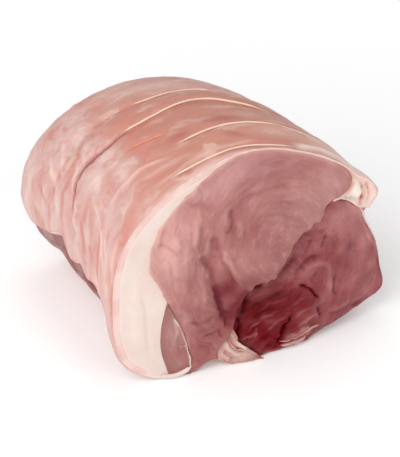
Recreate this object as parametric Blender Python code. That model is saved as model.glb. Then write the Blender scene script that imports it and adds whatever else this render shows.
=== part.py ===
"""A boneless leg joint of meat, rolled and lying on its side, rind up, as a butcher sells it.

The joint is a barrel along Y. Its cut face looks along -Y, and its far end is at +Y. The rind and the fat
under it wrap round the left, the top and the right shoulder. Below the fat lie three lean muscles and one
wedge of fat between them, and each runs from the cut face to the far end.

Every piece starts as an outline on the cut face. The outline is swept to the far end through the joint's
sections, which narrow, drop and turn towards the back. Sizes are in millimetres, and the meshes in metres.
"""

import math

import bmesh
import bpy
import numpy as np
from mathutils import Matrix, Vector
from mathutils.geometry import delaunay_2d_cdt

MM = 0.001

# The barrel's length, and how the cut face bulges forward low down, where the meat sags.
FRONT_Y = -58.0
BACK_Y = 74.5
SAG = 11.0
SAG_CENTRE = (15.0, 15.0)
SAG_REACH = (55.0, 60.0)
BACK_DOME = 4.0

# The sections are drawn about this point, which also is the height of the barrel's middle.
CENTRE_X = -4.0
CENTRE_Z = 52.0

# The cut face's outline, anticlockwise from the lower right corner. Points below zero are cut off by the
# board, where the meat's weight flattens it.
RIM = [
    (83.5, 15), (81, 32), (77.5, 47), (71, 59), (68, 68), (75, 77), (71.5, 85.5), (62, 92.5), (49, 103),
    (29, 113.5), (8, 120.5), (-12, 121.5), (-30, 116.5), (-58, 101), (-71, 86), (-77, 70), (-79, 50),
    (-78.5, 32), (-73.5, 15), (-65, 6.5), (-54, 1), (-45, -1), (-36, -1), (-30.5, 3.5), (-25, 6.5),
    (-19, 2.5), (-9, -2), (24, -2), (45, 4), (70, 9.5),
]

# Behind the cut face, each section is a rounded box about the centre: its reach to the left and right, its
# height above the centre at the front and the back, how square each quarter is, and how far its belly
# would reach below the board if the joint's own weight didn't flatten it.
LEFT_REACH = (74.5, 77.5)
RIGHT_REACH = (81.0, 72.0)
TOP_REACH = (74.5, 55.0)
TOP_CURVE = 4.0
SQUARE_UPPER_LEFT = 2.08
SQUARE_UPPER_RIGHT = 2.03
SQUARE_LOWER_LEFT = (1.42, 1.66)
SQUARE_LOWER_RIGHT = 3.4
BELLY = 5.0
RIM_BLEND = 30.0
BACK_ROUND = 13.0

# The skin's lower edge climbs from the board at the cut face to the flank further back, so the sections
# turn about the centre, most at the skin's edge and hardly at all deep inside.
TURN_DEG = 44.0
TURN_CENTRE_DEG = 230.0
TURN_HALF_DEG = 130.0
TURN_LENGTH = 75.0

# Scores cut across the rind, front to back, and the soft bands that swell between them.
SCORES_Y = (-34.5, 8.0, 38.5)
SCORE_HALF = 3.5
SCORE_DEPTH = 2.0
BAND_SWELL = 1.8
SCORE_BOW = 6.0
BOW_CENTRE_DEG = 115.0
BOW_WIDTH_DEG = 45.0
BOW_MOST = 12.0

# Where the pieces meet the outline of the cut face, as angles about the centre.
LUMP_DEG = 14.0
SKIN_EDGE_DEG = 230.0
SKIN_FADE = 0.4
SMALL_EDGE_DEG = 236.8
WEDGE_LEFT_DEG = 248.0
WEDGE_RIGHT_DEG = 278.7

# The lines between the pieces on the cut face. They meet at the notch, the small muscle's top and the
# wedge's top.
NOTCH = (46, 82)
SMALL_TOP = (-49, 47)
WEDGE_TOP = (-13, 28)
SIDE_TOP_LINE = [NOTCH, (52, 80.5), (58, 77), (62, 73.5)]
FAT_LINE = [
    NOTCH, (52.5, 82.8), (57, 86), (58, 91), (54, 97), (46, 102.5), (31, 110), (10, 116),
    (-8, 117.5), (-22, 112.5), (-36, 104.5), (-46, 96), (-53, 87), (-57, 77), (-57.5, 67), (-53.5, 58),
    SMALL_TOP,
]
SEAM_LINE = [
    NOTCH, (42, 78.5), (37, 72), (29, 69), (22, 65), (16, 55), (8, 49), (-2, 48), (-8, 42), WEDGE_TOP,
]
WEDGE_LEFT_LINE = [WEDGE_TOP, (-16, 20), (-22, 14), (-24, 7)]
WEDGE_RIGHT_LINE = [WEDGE_TOP, (-12, 20), (-8, 11), (-2, 5)]
SMALL_LEFT_LINE = [SMALL_TOP, (-51.5, 38), (-53, 28), (-52.5, 16), (-50, 7)]
SMALL_RIGHT_LINE = [SMALL_TOP, (-44.5, 37), (-41, 28), (-38, 16), (-37, 7)]

# The main muscle stands proud of the side muscle, which falls back into a hollow under it.
MAIN_SWELL = 5.0
MAIN_SWELL_CENTRE = (0.0, 82.0)
MAIN_SWELL_REACH = (45.0, 38.0)
FOLD_DEPTH = 4.0
FOLD_LINE = [(-32, 66), (-28, 55), (-23, 46), (-19, 34)]
FOLD_WIDTH = 6.0
HOLLOW_DEPTH = 11.0
HOLLOW_CENTRE = (-2.0, 38.0)
HOLLOW_REACH = (27.0, 20.0)
SIDE_SET_BACK = 2.5
RELIEF_FADE = 38.0
EDGE_ROUND = 1.6

GAP = 0.4
OUTER_STEP = 8.0
LINE_STEP = 6.5
FACE_STEP = 6.5
BACK_STEP = 20.0
MITRE_MOST = 2.0

COLLECTION = "boneless_mutton_block"


# ---------------------------------------------------------------- curves in the plane of the cut face


def smooth(t):
    """A step from 0 to 1 with flat ends."""
    t = np.clip(t, 0.0, 1.0)
    return t * t * (3.0 - 2.0 * t)


def hermite(at, knots, values):
    """A cubic curve through the values at rising knots, with slopes worked out from the neighbours."""
    widths = np.diff(knots)
    rises = np.diff(values, axis=0) / widths[:, None]
    slopes = np.empty_like(values)
    slopes[1:-1] = (rises[:-1] * widths[1:, None] + rises[1:] * widths[:-1, None]) / (
        widths[:-1] + widths[1:]
    )[:, None]
    slopes[0], slopes[-1] = rises[0], rises[-1]
    i = np.clip(np.searchsorted(knots, at, side="right") - 1, 0, len(knots) - 2)
    h = widths[i][:, None]
    t = ((at - knots[i]) / widths[i])[:, None]
    return (
        values[i] * (1 + 2 * t) * (1 - t) ** 2
        + slopes[i] * h * t * (1 - t) ** 2
        + values[i + 1] * t * t * (3 - 2 * t)
        + slopes[i + 1] * h * t * t * (t - 1)
    )


def curve_through(points, step):
    """Points about one step apart on a smooth curve through the given ones, ends included."""
    points = np.array(points, float)
    along = np.concatenate([[0], np.cumsum(np.linalg.norm(np.diff(points, axis=0), axis=1))])
    count = max(2, round(along[-1] / step))
    return hermite(np.linspace(0, along[-1], count + 1), along, points)


def rim_radii():
    """The knots of the cut face's outline as angle and radius about the centre, over three turns."""
    offset = np.array(RIM, float) - (CENTRE_X, CENTRE_Z)
    angle = np.arctan2(offset[:, 1], offset[:, 0])
    order = np.argsort(angle)
    angle, radius = angle[order], np.hypot(offset[:, 0], offset[:, 1])[order]
    turn = 2 * math.pi
    return np.concatenate([angle - turn, angle, angle + turn]), np.tile(radius, 3)[:, None]


RIM_KNOTS = rim_radii()


def rim_radius(angle):
    """The distance from the centre to the cut face's outline."""
    wrapped = np.mod(angle + math.pi, 2 * math.pi) - math.pi
    return hermite(wrapped, *RIM_KNOTS)[:, 0]


def body_radius(angle, y):
    """The distance from the centre to the rounded box that the joint's body is behind the cut face."""
    t = np.clip((y - FRONT_Y) / (BACK_Y - FRONT_Y), 0, 1)
    left = LEFT_REACH[0] + (LEFT_REACH[1] - LEFT_REACH[0]) * t
    right = RIGHT_REACH[0] + (RIGHT_REACH[1] - RIGHT_REACH[0]) * t
    top = TOP_REACH[0] + (TOP_REACH[1] - TOP_REACH[0]) * t + 4 * TOP_CURVE * t * (1 - t)
    bottom = CENTRE_Z + BELLY
    across, up = np.cos(angle), np.sin(angle)
    reach = np.where(across >= 0, right, left)
    height = np.where(up >= 0, top, bottom)
    upper = np.where(across >= 0, SQUARE_UPPER_RIGHT, SQUARE_UPPER_LEFT)
    lower_left = SQUARE_LOWER_LEFT[0] + (SQUARE_LOWER_LEFT[1] - SQUARE_LOWER_LEFT[0]) * t
    lower = np.where(across >= 0, SQUARE_LOWER_RIGHT, lower_left)
    power = np.where(up >= 0, upper, lower)
    return ((np.abs(across) / reach) ** power + (np.abs(up) / height) ** power) ** (-1 / power)


def section_radius(angle, y):
    """The distance from the centre to the surface: the rim blends into the body, flat on the board."""
    body = smooth((y - FRONT_Y) / RIM_BLEND)
    radius = (1 - body) * rim_radius(angle) + body * body_radius(angle, y)
    end = np.clip((y - BACK_Y + BACK_ROUND) / BACK_ROUND, 0, 1)
    up = np.sin(angle)
    radius = radius - BACK_ROUND * (1 - np.sqrt(1 - end * end)) * np.clip(1 + 1.3 * up, 0.25, 1)
    return np.where(up < 0, np.minimum(radius, CENTRE_Z / np.maximum(-up, 1e-6)), radius)


def turned(angle, share, y):
    """An angle turned up the flank behind the cut face; share is how near the surface it lies, up to 1."""
    away = (np.mod(angle, 2 * math.pi) - math.radians(TURN_CENTRE_DEG)) / math.radians(TURN_HALF_DEG)
    near = np.where(np.abs(away) < 1, 0.5 + 0.5 * np.cos(math.pi * np.clip(away, -1, 1)), 0)
    return angle - math.radians(TURN_DEG) * near * share * share * smooth((y - FRONT_Y) / TURN_LENGTH)


def bow(angle):
    """How far forward of its place over the crown a score, or any section, lies at this angle."""
    away = (np.mod(angle, 2 * math.pi) - math.radians(BOW_CENTRE_DEG)) / math.radians(BOW_WIDTH_DEG)
    return -np.minimum(SCORE_BOW * away * away, BOW_MOST)


def swell(y):
    """The rind's height over its section: bands swell between the scores, and each score is a groove."""
    edges = np.array([FRONT_Y, *SCORES_Y, BACK_Y])
    i = np.clip(np.searchsorted(edges, y) - 1, 0, len(edges) - 2)
    half = (edges[i + 1] - edges[i]) / 2
    band = BAND_SWELL * np.maximum(0, 1 - ((y - edges[i] - half) / half) ** 2)
    nearest = np.min([np.abs(y - score) for score in SCORES_Y], axis=0)
    return band - SCORE_DEPTH * np.maximum(0, 1 - nearest / SCORE_HALF)


def face_y(x, z):
    """The cut face, which sags forward low down."""
    across = (x - SAG_CENTRE[0]) / SAG_REACH[0]
    up = (z - SAG_CENTRE[1]) / SAG_REACH[1]
    return FRONT_Y - SAG * np.exp(-across * across - up * up)


# ---------------------------------------------------------------- from the cut face to the far end


def placed(points, outer, y):
    """Where points of the cut face's plane lie at a depth each, as rows of x, y and z.

    outer says which of them are on the joint's surface, and so follow the rind's bands and scores.
    """
    offset = points - (CENTRE_X, CENTRE_Z)
    angle = np.arctan2(offset[:, 1], offset[:, 0])
    share = np.hypot(offset[:, 0], offset[:, 1]) / rim_radius(angle)
    base = np.mod(angle, 2 * math.pi)
    above_lump, above_edge = base - math.radians(LUMP_DEG), math.radians(SKIN_EDGE_DEG) - base
    skin = smooth(above_lump / SKIN_FADE) * smooth(above_edge / SKIN_FADE)
    angle = turned(angle, share, y)
    radius = share * section_radius(angle, y) + np.where(outer, skin * swell(y), 0)
    x = CENTRE_X + radius * np.cos(angle)
    z = CENTRE_Z + radius * np.sin(angle)
    front = 1 - smooth((y - FRONT_Y) / RIM_BLEND)
    bowed = (1 - front) * smooth((BACK_Y - y) / BACK_ROUND)
    across, up = (x - CENTRE_X) / LEFT_REACH[1], (z - CENTRE_Z) / TOP_REACH[1]
    dome = BACK_DOME * np.maximum(0, 1 - across * across - up * up)
    dome = dome * smooth((y - BACK_Y + BACK_ROUND) / BACK_ROUND)
    return np.stack([x, y + bow(angle) * bowed + (face_y(x, z) - FRONT_Y) * front + dome, z], axis=1)


def drawn_in(outline, distance):
    """The closed anticlockwise outline with each point moved inwards, less where a corner is sharp."""
    before = outline - np.roll(outline, 1, axis=0)
    after = np.roll(outline, -1, axis=0) - outline
    before /= np.linalg.norm(before, axis=1)[:, None]
    after /= np.linalg.norm(after, axis=1)[:, None]
    inward = np.stack([-(before + after)[:, 1], (before + after)[:, 0]], axis=1)
    length = np.linalg.norm(inward, axis=1)
    inward /= length[:, None]
    return outline + inward * (distance * np.minimum(2 / length, MITRE_MOST))[:, None]


def line_distance(points, line):
    """The distance from each point to a line of straight pieces."""
    nearest = np.full(len(points), np.inf)
    for start, end in zip(line[:-1], line[1:]):
        run = end - start
        t = np.clip((points - start) @ run / (run @ run), 0, 1)
        nearest = np.minimum(nearest, np.linalg.norm(points - start - t[:, None] * run, axis=1))
    return nearest


def main_relief(x, z):
    """The main muscle's face: a dome, with a fold down to the hollow."""
    across = (x - MAIN_SWELL_CENTRE[0]) / MAIN_SWELL_REACH[0]
    up = (z - MAIN_SWELL_CENTRE[1]) / MAIN_SWELL_REACH[1]
    fold = line_distance(np.stack([x, z], axis=1), curve_through(FOLD_LINE, LINE_STEP)) / FOLD_WIDTH
    return FOLD_DEPTH * np.exp(-fold * fold) - MAIN_SWELL * np.exp(-across * across - up * up)


def side_relief(x, z):
    """The side muscle's face, set back and hollow under the main muscle."""
    across = (x - HOLLOW_CENTRE[0]) / HOLLOW_REACH[0]
    up = (z - HOLLOW_CENTRE[1]) / HOLLOW_REACH[1]
    return SIDE_SET_BACK + HOLLOW_DEPTH * np.exp(-across * across - up * up)


def flat_relief(x, z):
    """A face that follows the cut."""
    return np.zeros_like(x)


def inside(points, outline):
    """Which points lie inside the closed outline."""
    within = np.zeros(len(points), bool)
    for (x0, z0), (x1, z1) in zip(outline, np.roll(outline, -1, axis=0)):
        crosses = (z0 > points[:, 1]) != (z1 > points[:, 1])
        if z0 != z1:
            within ^= crosses & (points[:, 0] < (x1 - x0) * (points[:, 1] - z0) / (z1 - z0) + x0)
    return within


def cap_triangles(outline, step):
    """(inner points, triangles) that fill the outline; the outline's own points come first in a triangle."""
    low, high = outline.min(axis=0), outline.max(axis=0)
    rows = np.arange(low[1] + step / 2, high[1], step * 0.87)
    grid = [(x + (k % 2) * step / 2, z) for k, z in enumerate(rows) for x in np.arange(low[0], high[0], step)]
    grid = np.array(grid).reshape(-1, 2)
    grid = grid[inside(grid, outline)]
    closed = np.concatenate([outline, outline[:1]])
    grid = grid[line_distance(grid, closed) > step * 0.55] if len(grid) else grid
    points = [Vector(p) for p in np.concatenate([outline, grid])]
    found = delaunay_2d_cdt(points, [], [list(range(len(outline)))], 1, 1e-6)
    first = [ids[0] for ids in found[3]]
    return grid, [[first[i] for i in face] for face in found[2]]


def stations():
    """(depth, how far the outline is drawn in) of each section, closest where the joint is scored."""
    rounded = [(FRONT_Y, 1.0), (FRONT_Y + 0.3 * EDGE_ROUND, 0.3), (FRONT_Y + EDGE_ROUND, 0.0)]
    depths = [-51.5, -44.5, -23.0, -14.0, -5.0, 20.0, 28.5, 52.0]
    for score in SCORES_Y:
        depths += [score - SCORE_HALF, score, score + SCORE_HALF]
    depths += [BACK_Y - BACK_ROUND * share for share in (0.95, 0.5, 0.18, 0.0)]
    return rounded + [(depth, 0.0) for depth in sorted(depths)]


def sweep(name, outline, outer, relief, edge_round, colour, roughness):
    """One piece of the joint as a closed mesh object, swept from the cut face to the far end.

    Each square of its side is split along the diagonal that the neighbour's square is split along, as the
    sections turn and a square is far from flat.
    """
    order = outline @ (1.0, 0.37)
    outline = np.where(outer[:, None], outline, drawn_in(outline, GAP / 2))
    mesh = bmesh.new()

    def add(points, on_surface, y):
        """New vertices for the points at depth y, moved by the face's relief near the cut face."""
        fade = 1 - smooth((y - FRONT_Y) / RELIEF_FADE)
        depth = y + relief(points[:, 0], points[:, 1]) * fade
        return [mesh.verts.new(Vector(p) * MM) for p in placed(points, on_surface, depth)]

    sections = stations()
    flats = [drawn_in(outline, edge_round * draw) for _, draw in sections]
    rings = [add(flat, outer, y) for flat, (y, _) in zip(flats, sections)]
    for ring, after in zip(rings[:-1], rings[1:]):
        for i in range(len(outline)):
            j = (i + 1) % len(outline)
            if order[i] < order[j]:
                mesh.faces.new((ring[i], after[i], after[j]))
                mesh.faces.new((ring[i], after[j], ring[j]))
            else:
                mesh.faces.new((ring[i], after[i], ring[j]))
                mesh.faces.new((ring[j], after[i], after[j]))
    ends = ((rings[0], flats[0], FRONT_Y, FACE_STEP), (rings[-1], flats[-1], BACK_Y, BACK_STEP))
    for ring, flat, y, step in ends:
        grid, triangles = cap_triangles(flat, step)
        cap = ring + (add(grid, False, y) if len(grid) else [])
        for triangle in triangles:
            mesh.faces.new([cap[i] for i in triangle])
    bmesh.ops.recalc_face_normals(mesh, faces=mesh.faces)
    return finished(name, mesh, colour, roughness)


def finished(name, mesh, colour, roughness):
    """The mesh as an object of the joint's collection, with its own material, shaded smooth."""
    data = bpy.data.meshes.new(name)
    mesh.to_mesh(data)
    mesh.free()
    material = bpy.data.materials.new(name)
    material.use_nodes = True
    shader = material.node_tree.nodes["Principled BSDF"]
    shader.inputs["Base Color"].default_value = (*colour, 1.0)
    shader.inputs["Roughness"].default_value = roughness
    shader.inputs["Metallic"].default_value = 0.0
    data.materials.append(material)
    data.shade_smooth()
    data.set_sharp_from_angle(angle=math.radians(40))
    piece = bpy.data.objects.new(name, data)
    bpy.data.collections[COLLECTION].objects.link(piece)
    return piece


# ---------------------------------------------------------------- the pieces


def rim_stretch(start_deg, end_deg):
    """Points along the cut face's outline between two angles, ends included."""
    start, end = math.radians(start_deg), math.radians(end_deg)
    fine = np.linspace(start, end, 200)
    radius = rim_radius(fine)
    points = np.stack([CENTRE_X + radius * np.cos(fine), CENTRE_Z + radius * np.sin(fine)], axis=1)
    length = np.linalg.norm(np.diff(points, axis=0), axis=1).sum()
    return curve_through(points, length / max(1, round(length / OUTER_STEP)))


def joined(*stretches):
    """(outline, outer) of a closed outline from stretches, each (points, whether on the joint's surface)."""
    outline, outer = [], []
    for points, on_surface in stretches:
        outline.append(points[:-1])
        outer += [on_surface] * (len(points) - 1)
    return np.concatenate(outline), np.array(outer)


def line_to_rim(line, angle_deg):
    """A line between pieces, carried on to the cut face's outline."""
    return curve_through([*line, tuple(rim_stretch(angle_deg, angle_deg + 1)[0])], LINE_STEP)


def build():
    """All five pieces of the joint."""
    side_top = line_to_rim(SIDE_TOP_LINE, LUMP_DEG)
    wedge_left = line_to_rim(WEDGE_LEFT_LINE, WEDGE_LEFT_DEG)
    wedge_right = line_to_rim(WEDGE_RIGHT_LINE, WEDGE_RIGHT_DEG)
    small_left = line_to_rim(SMALL_LEFT_LINE, SKIN_EDGE_DEG)
    small_right = line_to_rim(SMALL_RIGHT_LINE, SMALL_EDGE_DEG)
    fat = curve_through(FAT_LINE, LINE_STEP)
    seam = curve_through(SEAM_LINE, LINE_STEP)
    skin_rim = rim_stretch(LUMP_DEG, SKIN_EDGE_DEG)
    small_rim = rim_stretch(SKIN_EDGE_DEG, SMALL_EDGE_DEG)
    main_rim = rim_stretch(SMALL_EDGE_DEG, WEDGE_LEFT_DEG)
    wedge_rim = rim_stretch(WEDGE_LEFT_DEG, WEDGE_RIGHT_DEG)
    side_rim = rim_stretch(WEDGE_RIGHT_DEG, LUMP_DEG + 360)

    # The fat stops short of the notch, where the lines close too sharply for it, and leaves a small cleft.
    fat_cap = joined((skin_rim, True), (small_left[::-1], False), (fat[::-1], False), (side_top[1:], False))
    lean_main = joined(
        (fat, False), (small_right, False), (main_rim, True), (wedge_left[::-1], False), (seam[::-1], False)
    )
    lean_small = joined((small_left, False), (small_rim, True), (small_right[::-1], False))
    lean_side = joined((seam, False), (wedge_right, False), (side_rim, True), (side_top[::-1], False))
    seam_fat = joined((wedge_left, False), (wedge_rim, True), (wedge_right[::-1], False))
    sweep("fat_cap", *fat_cap, flat_relief, 0.0, (0.80, 0.62, 0.55), 0.45)
    sweep("lean_main", *lean_main, main_relief, EDGE_ROUND, (0.48, 0.20, 0.19), 0.4)
    sweep("lean_small", *lean_small, flat_relief, EDGE_ROUND / 2, (0.45, 0.22, 0.21), 0.4)
    sweep("lean_side", *lean_side, side_relief, EDGE_ROUND, (0.28, 0.06, 0.07), 0.4)
    sweep("seam_fat", *seam_fat, flat_relief, EDGE_ROUND / 2, (0.72, 0.50, 0.42), 0.45)


def centre():
    """Moves the meshes together so that the bottom of their box is centred on the origin."""
    meshes = [piece.data for piece in bpy.data.collections[COLLECTION].objects]
    points = np.array([vertex.co[:] for mesh in meshes for vertex in mesh.vertices])
    low, high = points.min(axis=0), points.max(axis=0)
    offset = Vector((-(low[0] + high[0]) / 2, -(low[1] + high[1]) / 2, -low[2]))
    for mesh in meshes:
        mesh.transform(Matrix.Translation(offset))


def main():
    """Clears the scene and builds the joint, centred over the origin and standing on the board."""
    for old in list(bpy.data.objects):
        bpy.data.objects.remove(old)
    bpy.context.scene.collection.children.link(bpy.data.collections.new(COLLECTION))
    build()
    centre()


main()
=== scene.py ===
"""The looks of a boneless leg joint of meat, rolled, scored and lying rind up.

The joint is a barrel along Y, with its cut face at the front. Each of the five main pieces is an outline on
the cut face that runs to the far end through the barrel's sections, as in the solid part, but as fine as the
real surface: the rind has its scores, folds and scalloped lower edge, and the cut face has the creases,
hollows and fibres of each muscle. Strands on that surface add what is thin: the split edges of the scores,
white films and threads of soft fat. Sizes are in millimetres, and the meshes in metres.
"""

import logging
import math
from dataclasses import dataclass, field, replace
from enum import Enum
from functools import cache
from typing import Sequence

import bpy
import numpy as np
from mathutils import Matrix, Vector
from mathutils.geometry import delaunay_2d_cdt


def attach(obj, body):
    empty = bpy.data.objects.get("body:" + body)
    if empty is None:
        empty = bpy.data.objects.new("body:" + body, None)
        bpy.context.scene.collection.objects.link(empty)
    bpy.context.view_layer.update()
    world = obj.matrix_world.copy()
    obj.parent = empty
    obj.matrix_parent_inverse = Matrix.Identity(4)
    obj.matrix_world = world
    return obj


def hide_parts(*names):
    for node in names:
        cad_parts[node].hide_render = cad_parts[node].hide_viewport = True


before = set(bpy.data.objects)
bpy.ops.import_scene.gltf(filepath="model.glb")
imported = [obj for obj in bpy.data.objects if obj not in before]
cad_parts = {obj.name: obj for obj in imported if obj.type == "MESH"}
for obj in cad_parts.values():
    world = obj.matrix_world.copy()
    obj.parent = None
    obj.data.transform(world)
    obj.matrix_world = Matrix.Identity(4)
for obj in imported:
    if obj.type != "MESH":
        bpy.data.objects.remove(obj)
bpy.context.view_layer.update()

Array = np.ndarray
Point = tuple[float, float]
Socket = bpy.types.NodeSocket
Tree = bpy.types.NodeTree
Node = bpy.types.Node
Material = bpy.types.Material

MM = 0.001
log = logging.getLogger("joint")

# The solid part is centred over its own box, so its frame is moved by this much from the drawing's.
SHIFT = np.array((-1.282, -5.220, 0.0))

# The fields that a mark leaves at a point: height in mm, then shares from 0 to 1. The dark share is darker
# flesh and painted shade in creases, hollows and gaps. The pale share is paler tissue and painted highlights
# on crests and swellings. The flush share is stains and blood, and on the main muscle a painted lavender
# sheen.
LIFT, DARK_AND_SHADE, PALE_AND_HIGHLIGHT, FLUSH_AND_SHEEN = range(4)

# Large odd numbers that give neighbouring cells and seeds of the noise unlike angles.
SCATTER_X, SCATTER_Y, SCATTER_SEED = 73856093, 19349663, 83492791
STIR_FIRST, STIR_SECOND = 60493, 19379
# What brings an octave of noise to about -1 to 1, and how far each octave's cells lie from the last one's.
NOISE_SWING, OCTAVE_SHIFT = 1.5, 37.7

# The rind's mean distance from the centre, which turns its angles into millimetres round the outside.
RADIUS = 78.0


# ---- curves and noise


def smooth(t: Array | float) -> Array:
    """A step from 0 to 1 with flat ends."""
    t = np.clip(t, 0.0, 1.0)
    return t * t * (3.0 - 2.0 * t)


def hermite(at: Array, knots: Array, values: Array) -> Array:
    """A cubic curve through values at rising knots.

    Args:
        at: where the curve is wanted.
        knots: the rising places of the values.
        values: one row for each knot.

    Returns:
        One row for each place asked for.
    """
    widths = np.diff(knots)
    rises = np.diff(values, axis=0) / widths[:, None]
    slopes = np.empty_like(values)
    slopes[1:-1] = (rises[:-1] * widths[1:, None] + rises[1:] * widths[:-1, None]) / (
        widths[:-1] + widths[1:]
    )[:, None]
    slopes[0], slopes[-1] = rises[0], rises[-1]
    i = np.clip(np.searchsorted(knots, at, side="right") - 1, 0, len(knots) - 2)
    h = widths[i][:, None]
    t = ((at - knots[i]) / widths[i])[:, None]
    return (
        values[i] * (1 + 2 * t) * (1 - t) ** 2
        + slopes[i] * h * t * (1 - t) ** 2
        + values[i + 1] * t * t * (3 - 2 * t)
        + slopes[i + 1] * h * t * t * (t - 1)
    )


def lengths_along(line: Array) -> Array:
    """How far along a line each of its points is."""
    return np.concatenate([[0], np.cumsum(np.linalg.norm(np.diff(line, axis=0), axis=1))])


def curve_through(points: Sequence[Point] | Array, step: float) -> Array:
    """Points about one step apart on a smooth curve through the given ones.

    Args:
        points: the curve's own points, in order.
        step: the spacing asked for, in the points' units.

    Returns:
        The curve's points, ends included.
    """
    points = np.array(points, float)
    along = lengths_along(points)
    count = max(2, round(along[-1] / step))
    return hermite(np.linspace(0, along[-1], count + 1), along, points)


def through_knots(at: Array, knots: Sequence[Point]) -> Array:
    """A smooth curve's value at each place, from (place, value) pairs, flat beyond its ends."""
    table = np.array(knots, float)
    return hermite(np.clip(at, table[0, 0], table[-1, 0]), table[:, 0], table[:, 1:])[:, 0]


def bell(points: Array, centre: Point, reach: Point) -> Array:
    """A swelling of 1 at its centre that dies out over its reach, both ways."""
    across, up = ((points - np.array(centre)) / reach).T
    return np.exp(-across * across - up * up)


@dataclass(frozen=True)
class Noise:
    """Smooth noise over a plane, between about -1 and 1, the same at each run."""

    seed: int

    def turn(self, cell: Array) -> Array:
        """A repeatable angle for each cell of the grid.

        Args:
            cell: rows of two whole numbers.

        Returns:
            One angle for each cell, in radians.
        """
        mixed = (cell[:, 0] * SCATTER_X) ^ (cell[:, 1] * SCATTER_Y) ^ (self.seed * SCATTER_SEED)
        mixed = ((mixed ^ (mixed >> 13)) * STIR_FIRST) & 0x7FFFFFFF
        mixed = ((mixed ^ (mixed >> 11)) * STIR_SECOND) & 0xFFFFFF
        return mixed / 0xFFFFFF * math.tau

    def at(self, points: Array, size: float | Point) -> Array:
        """One octave of noise.

        Args:
            points: rows of two numbers.
            size: the width of a bump, or its widths both ways.

        Returns:
            One number for each point.
        """
        grid = points / np.array(size, float)
        cell = np.floor(grid).astype(np.int64)
        part = grid - cell
        fade = part**3 * (part * (part * 6 - 15) + 10)
        total = np.zeros(len(points))
        for corner in ((0, 0), (1, 0), (0, 1), (1, 1)):
            turn = self.turn(cell + corner)
            offset = part - corner
            slope = np.cos(turn) * offset[:, 0] + np.sin(turn) * offset[:, 1]
            total += slope * np.prod(np.where(corner, fade, 1 - fade), axis=1)
        return total * NOISE_SWING

    def layered(self, points: Array, size: float | Point, octaves: int = 3) -> Array:
        """Several octaves, each half as wide and half as strong as the one before."""
        widths = np.array(size, float)
        return sum(self.at(points + OCTAVE_SHIFT * k, widths / 2**k) / 2**k for k in range(octaves))


def warped(points: Array, reach: float, size: float, seed: int) -> Array:
    """The points, each moved by noise up to about reach, so that drawn lines wander as cut flesh does."""
    moves = [Noise(seed + k).layered(points, size, 2) for k in range(2)]
    return points + reach * np.stack(moves, axis=1)


def nearest_on(points: Array, line: Array) -> tuple[Array, Array, Array]:
    """How points lie beside a line of straight pieces.

    Args:
        points: rows of two numbers.
        line: the line's points, in order.

    Returns:
        Each point's distance from the line, its side (1 on the left, -1 on the right) and how far along
        the line its nearest place is, as a share.
    """
    distance = np.full(len(points), np.inf)
    side, along = np.ones(len(points)), np.zeros(len(points))
    for k, (start, end) in enumerate(zip(line[:-1], line[1:])):
        run, offset = end - start, points - start
        t = np.clip(offset @ run / (run @ run), 0, 1)
        away = np.linalg.norm(offset - t[:, None] * run, axis=1)
        closer = away < distance
        distance = np.where(closer, away, distance)
        left = np.where(run[0] * offset[:, 1] - run[1] * offset[:, 0] >= 0, 1.0, -1.0)
        side = np.where(closer, left, side)
        along = np.where(closer, (k + t) / (len(line) - 1), along)
    return distance, side, along


# ---- marks on a surface


@dataclass(frozen=True)
class Mark:
    """A crease, ridge or fold that follows a line on the surface.

    Widths are half widths in mm. step raises the ground on the line's left over that on its right, out to
    about reach. taper is the share of the line over which each end dies out, spacing is how finely the line
    is followed, and a sharp mark comes to an edge at its line.
    """

    path: Sequence[Point]
    width: float = 1.5
    lift: float = 0.0
    step: float = 0.0
    reach: float = 8.0
    dark: float = 0.0
    pale: float = 0.0
    flush: float = 0.0
    taper: float = 0.25
    sharp: bool = False
    spacing: float = 2.0

    def read(self, points: Array) -> Array:
        """The mark's four fields at each point.

        Args:
            points: rows of two numbers.

        Returns:
            A row for each field, with one number for each point.
        """
        fields = np.zeros((4, len(points)))
        line = curve_through(self.path, self.spacing)
        # Three half widths away, nothing of the mark is left.
        margin = 3 * max(self.width, self.reach if self.step else 0)
        low, high = line.min(axis=0) - margin, line.max(axis=0) + margin
        near = np.all((points > low) & (points < high), axis=1)
        if not near.any():
            return fields
        distance, side, along = nearest_on(points[near], line)
        ends = smooth(along / self.taper) * smooth((1 - along) / self.taper)
        core = np.exp(-((distance / self.width) ** (1 if self.sharp else 2))) * ends
        slope = np.tanh(side * distance / self.width) * np.exp(-((distance / self.reach) ** 2)) * ends
        fields[LIFT, near] = self.lift * core + self.step / 2 * slope
        fields[DARK_AND_SHADE, near] = self.dark * core
        fields[PALE_AND_HIGHLIGHT, near] = self.pale * core
        fields[FLUSH_AND_SHEEN, near] = self.flush * core
        return fields


@dataclass(frozen=True)
class Patch:
    """A swelling, hollow or stain: reach is its half size both ways in mm, and edge how firm its edge is."""

    centre: Point
    reach: Point
    turn: float = 0.0
    lift: float = 0.0
    dark: float = 0.0
    pale: float = 0.0
    flush: float = 0.0
    edge: float = 1.0

    def read(self, points: Array) -> Array:
        """The patch's four fields at each point, given and returned as a mark's are."""
        angle = math.radians(self.turn)
        offset = points - self.centre
        across = offset @ (math.cos(angle), math.sin(angle)) / self.reach[0]
        up = offset @ (-math.sin(angle), math.cos(angle)) / self.reach[1]
        share = np.exp(-((across * across + up * up) ** self.edge))
        return np.outer((self.lift, self.dark, self.pale, self.flush), share)


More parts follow.
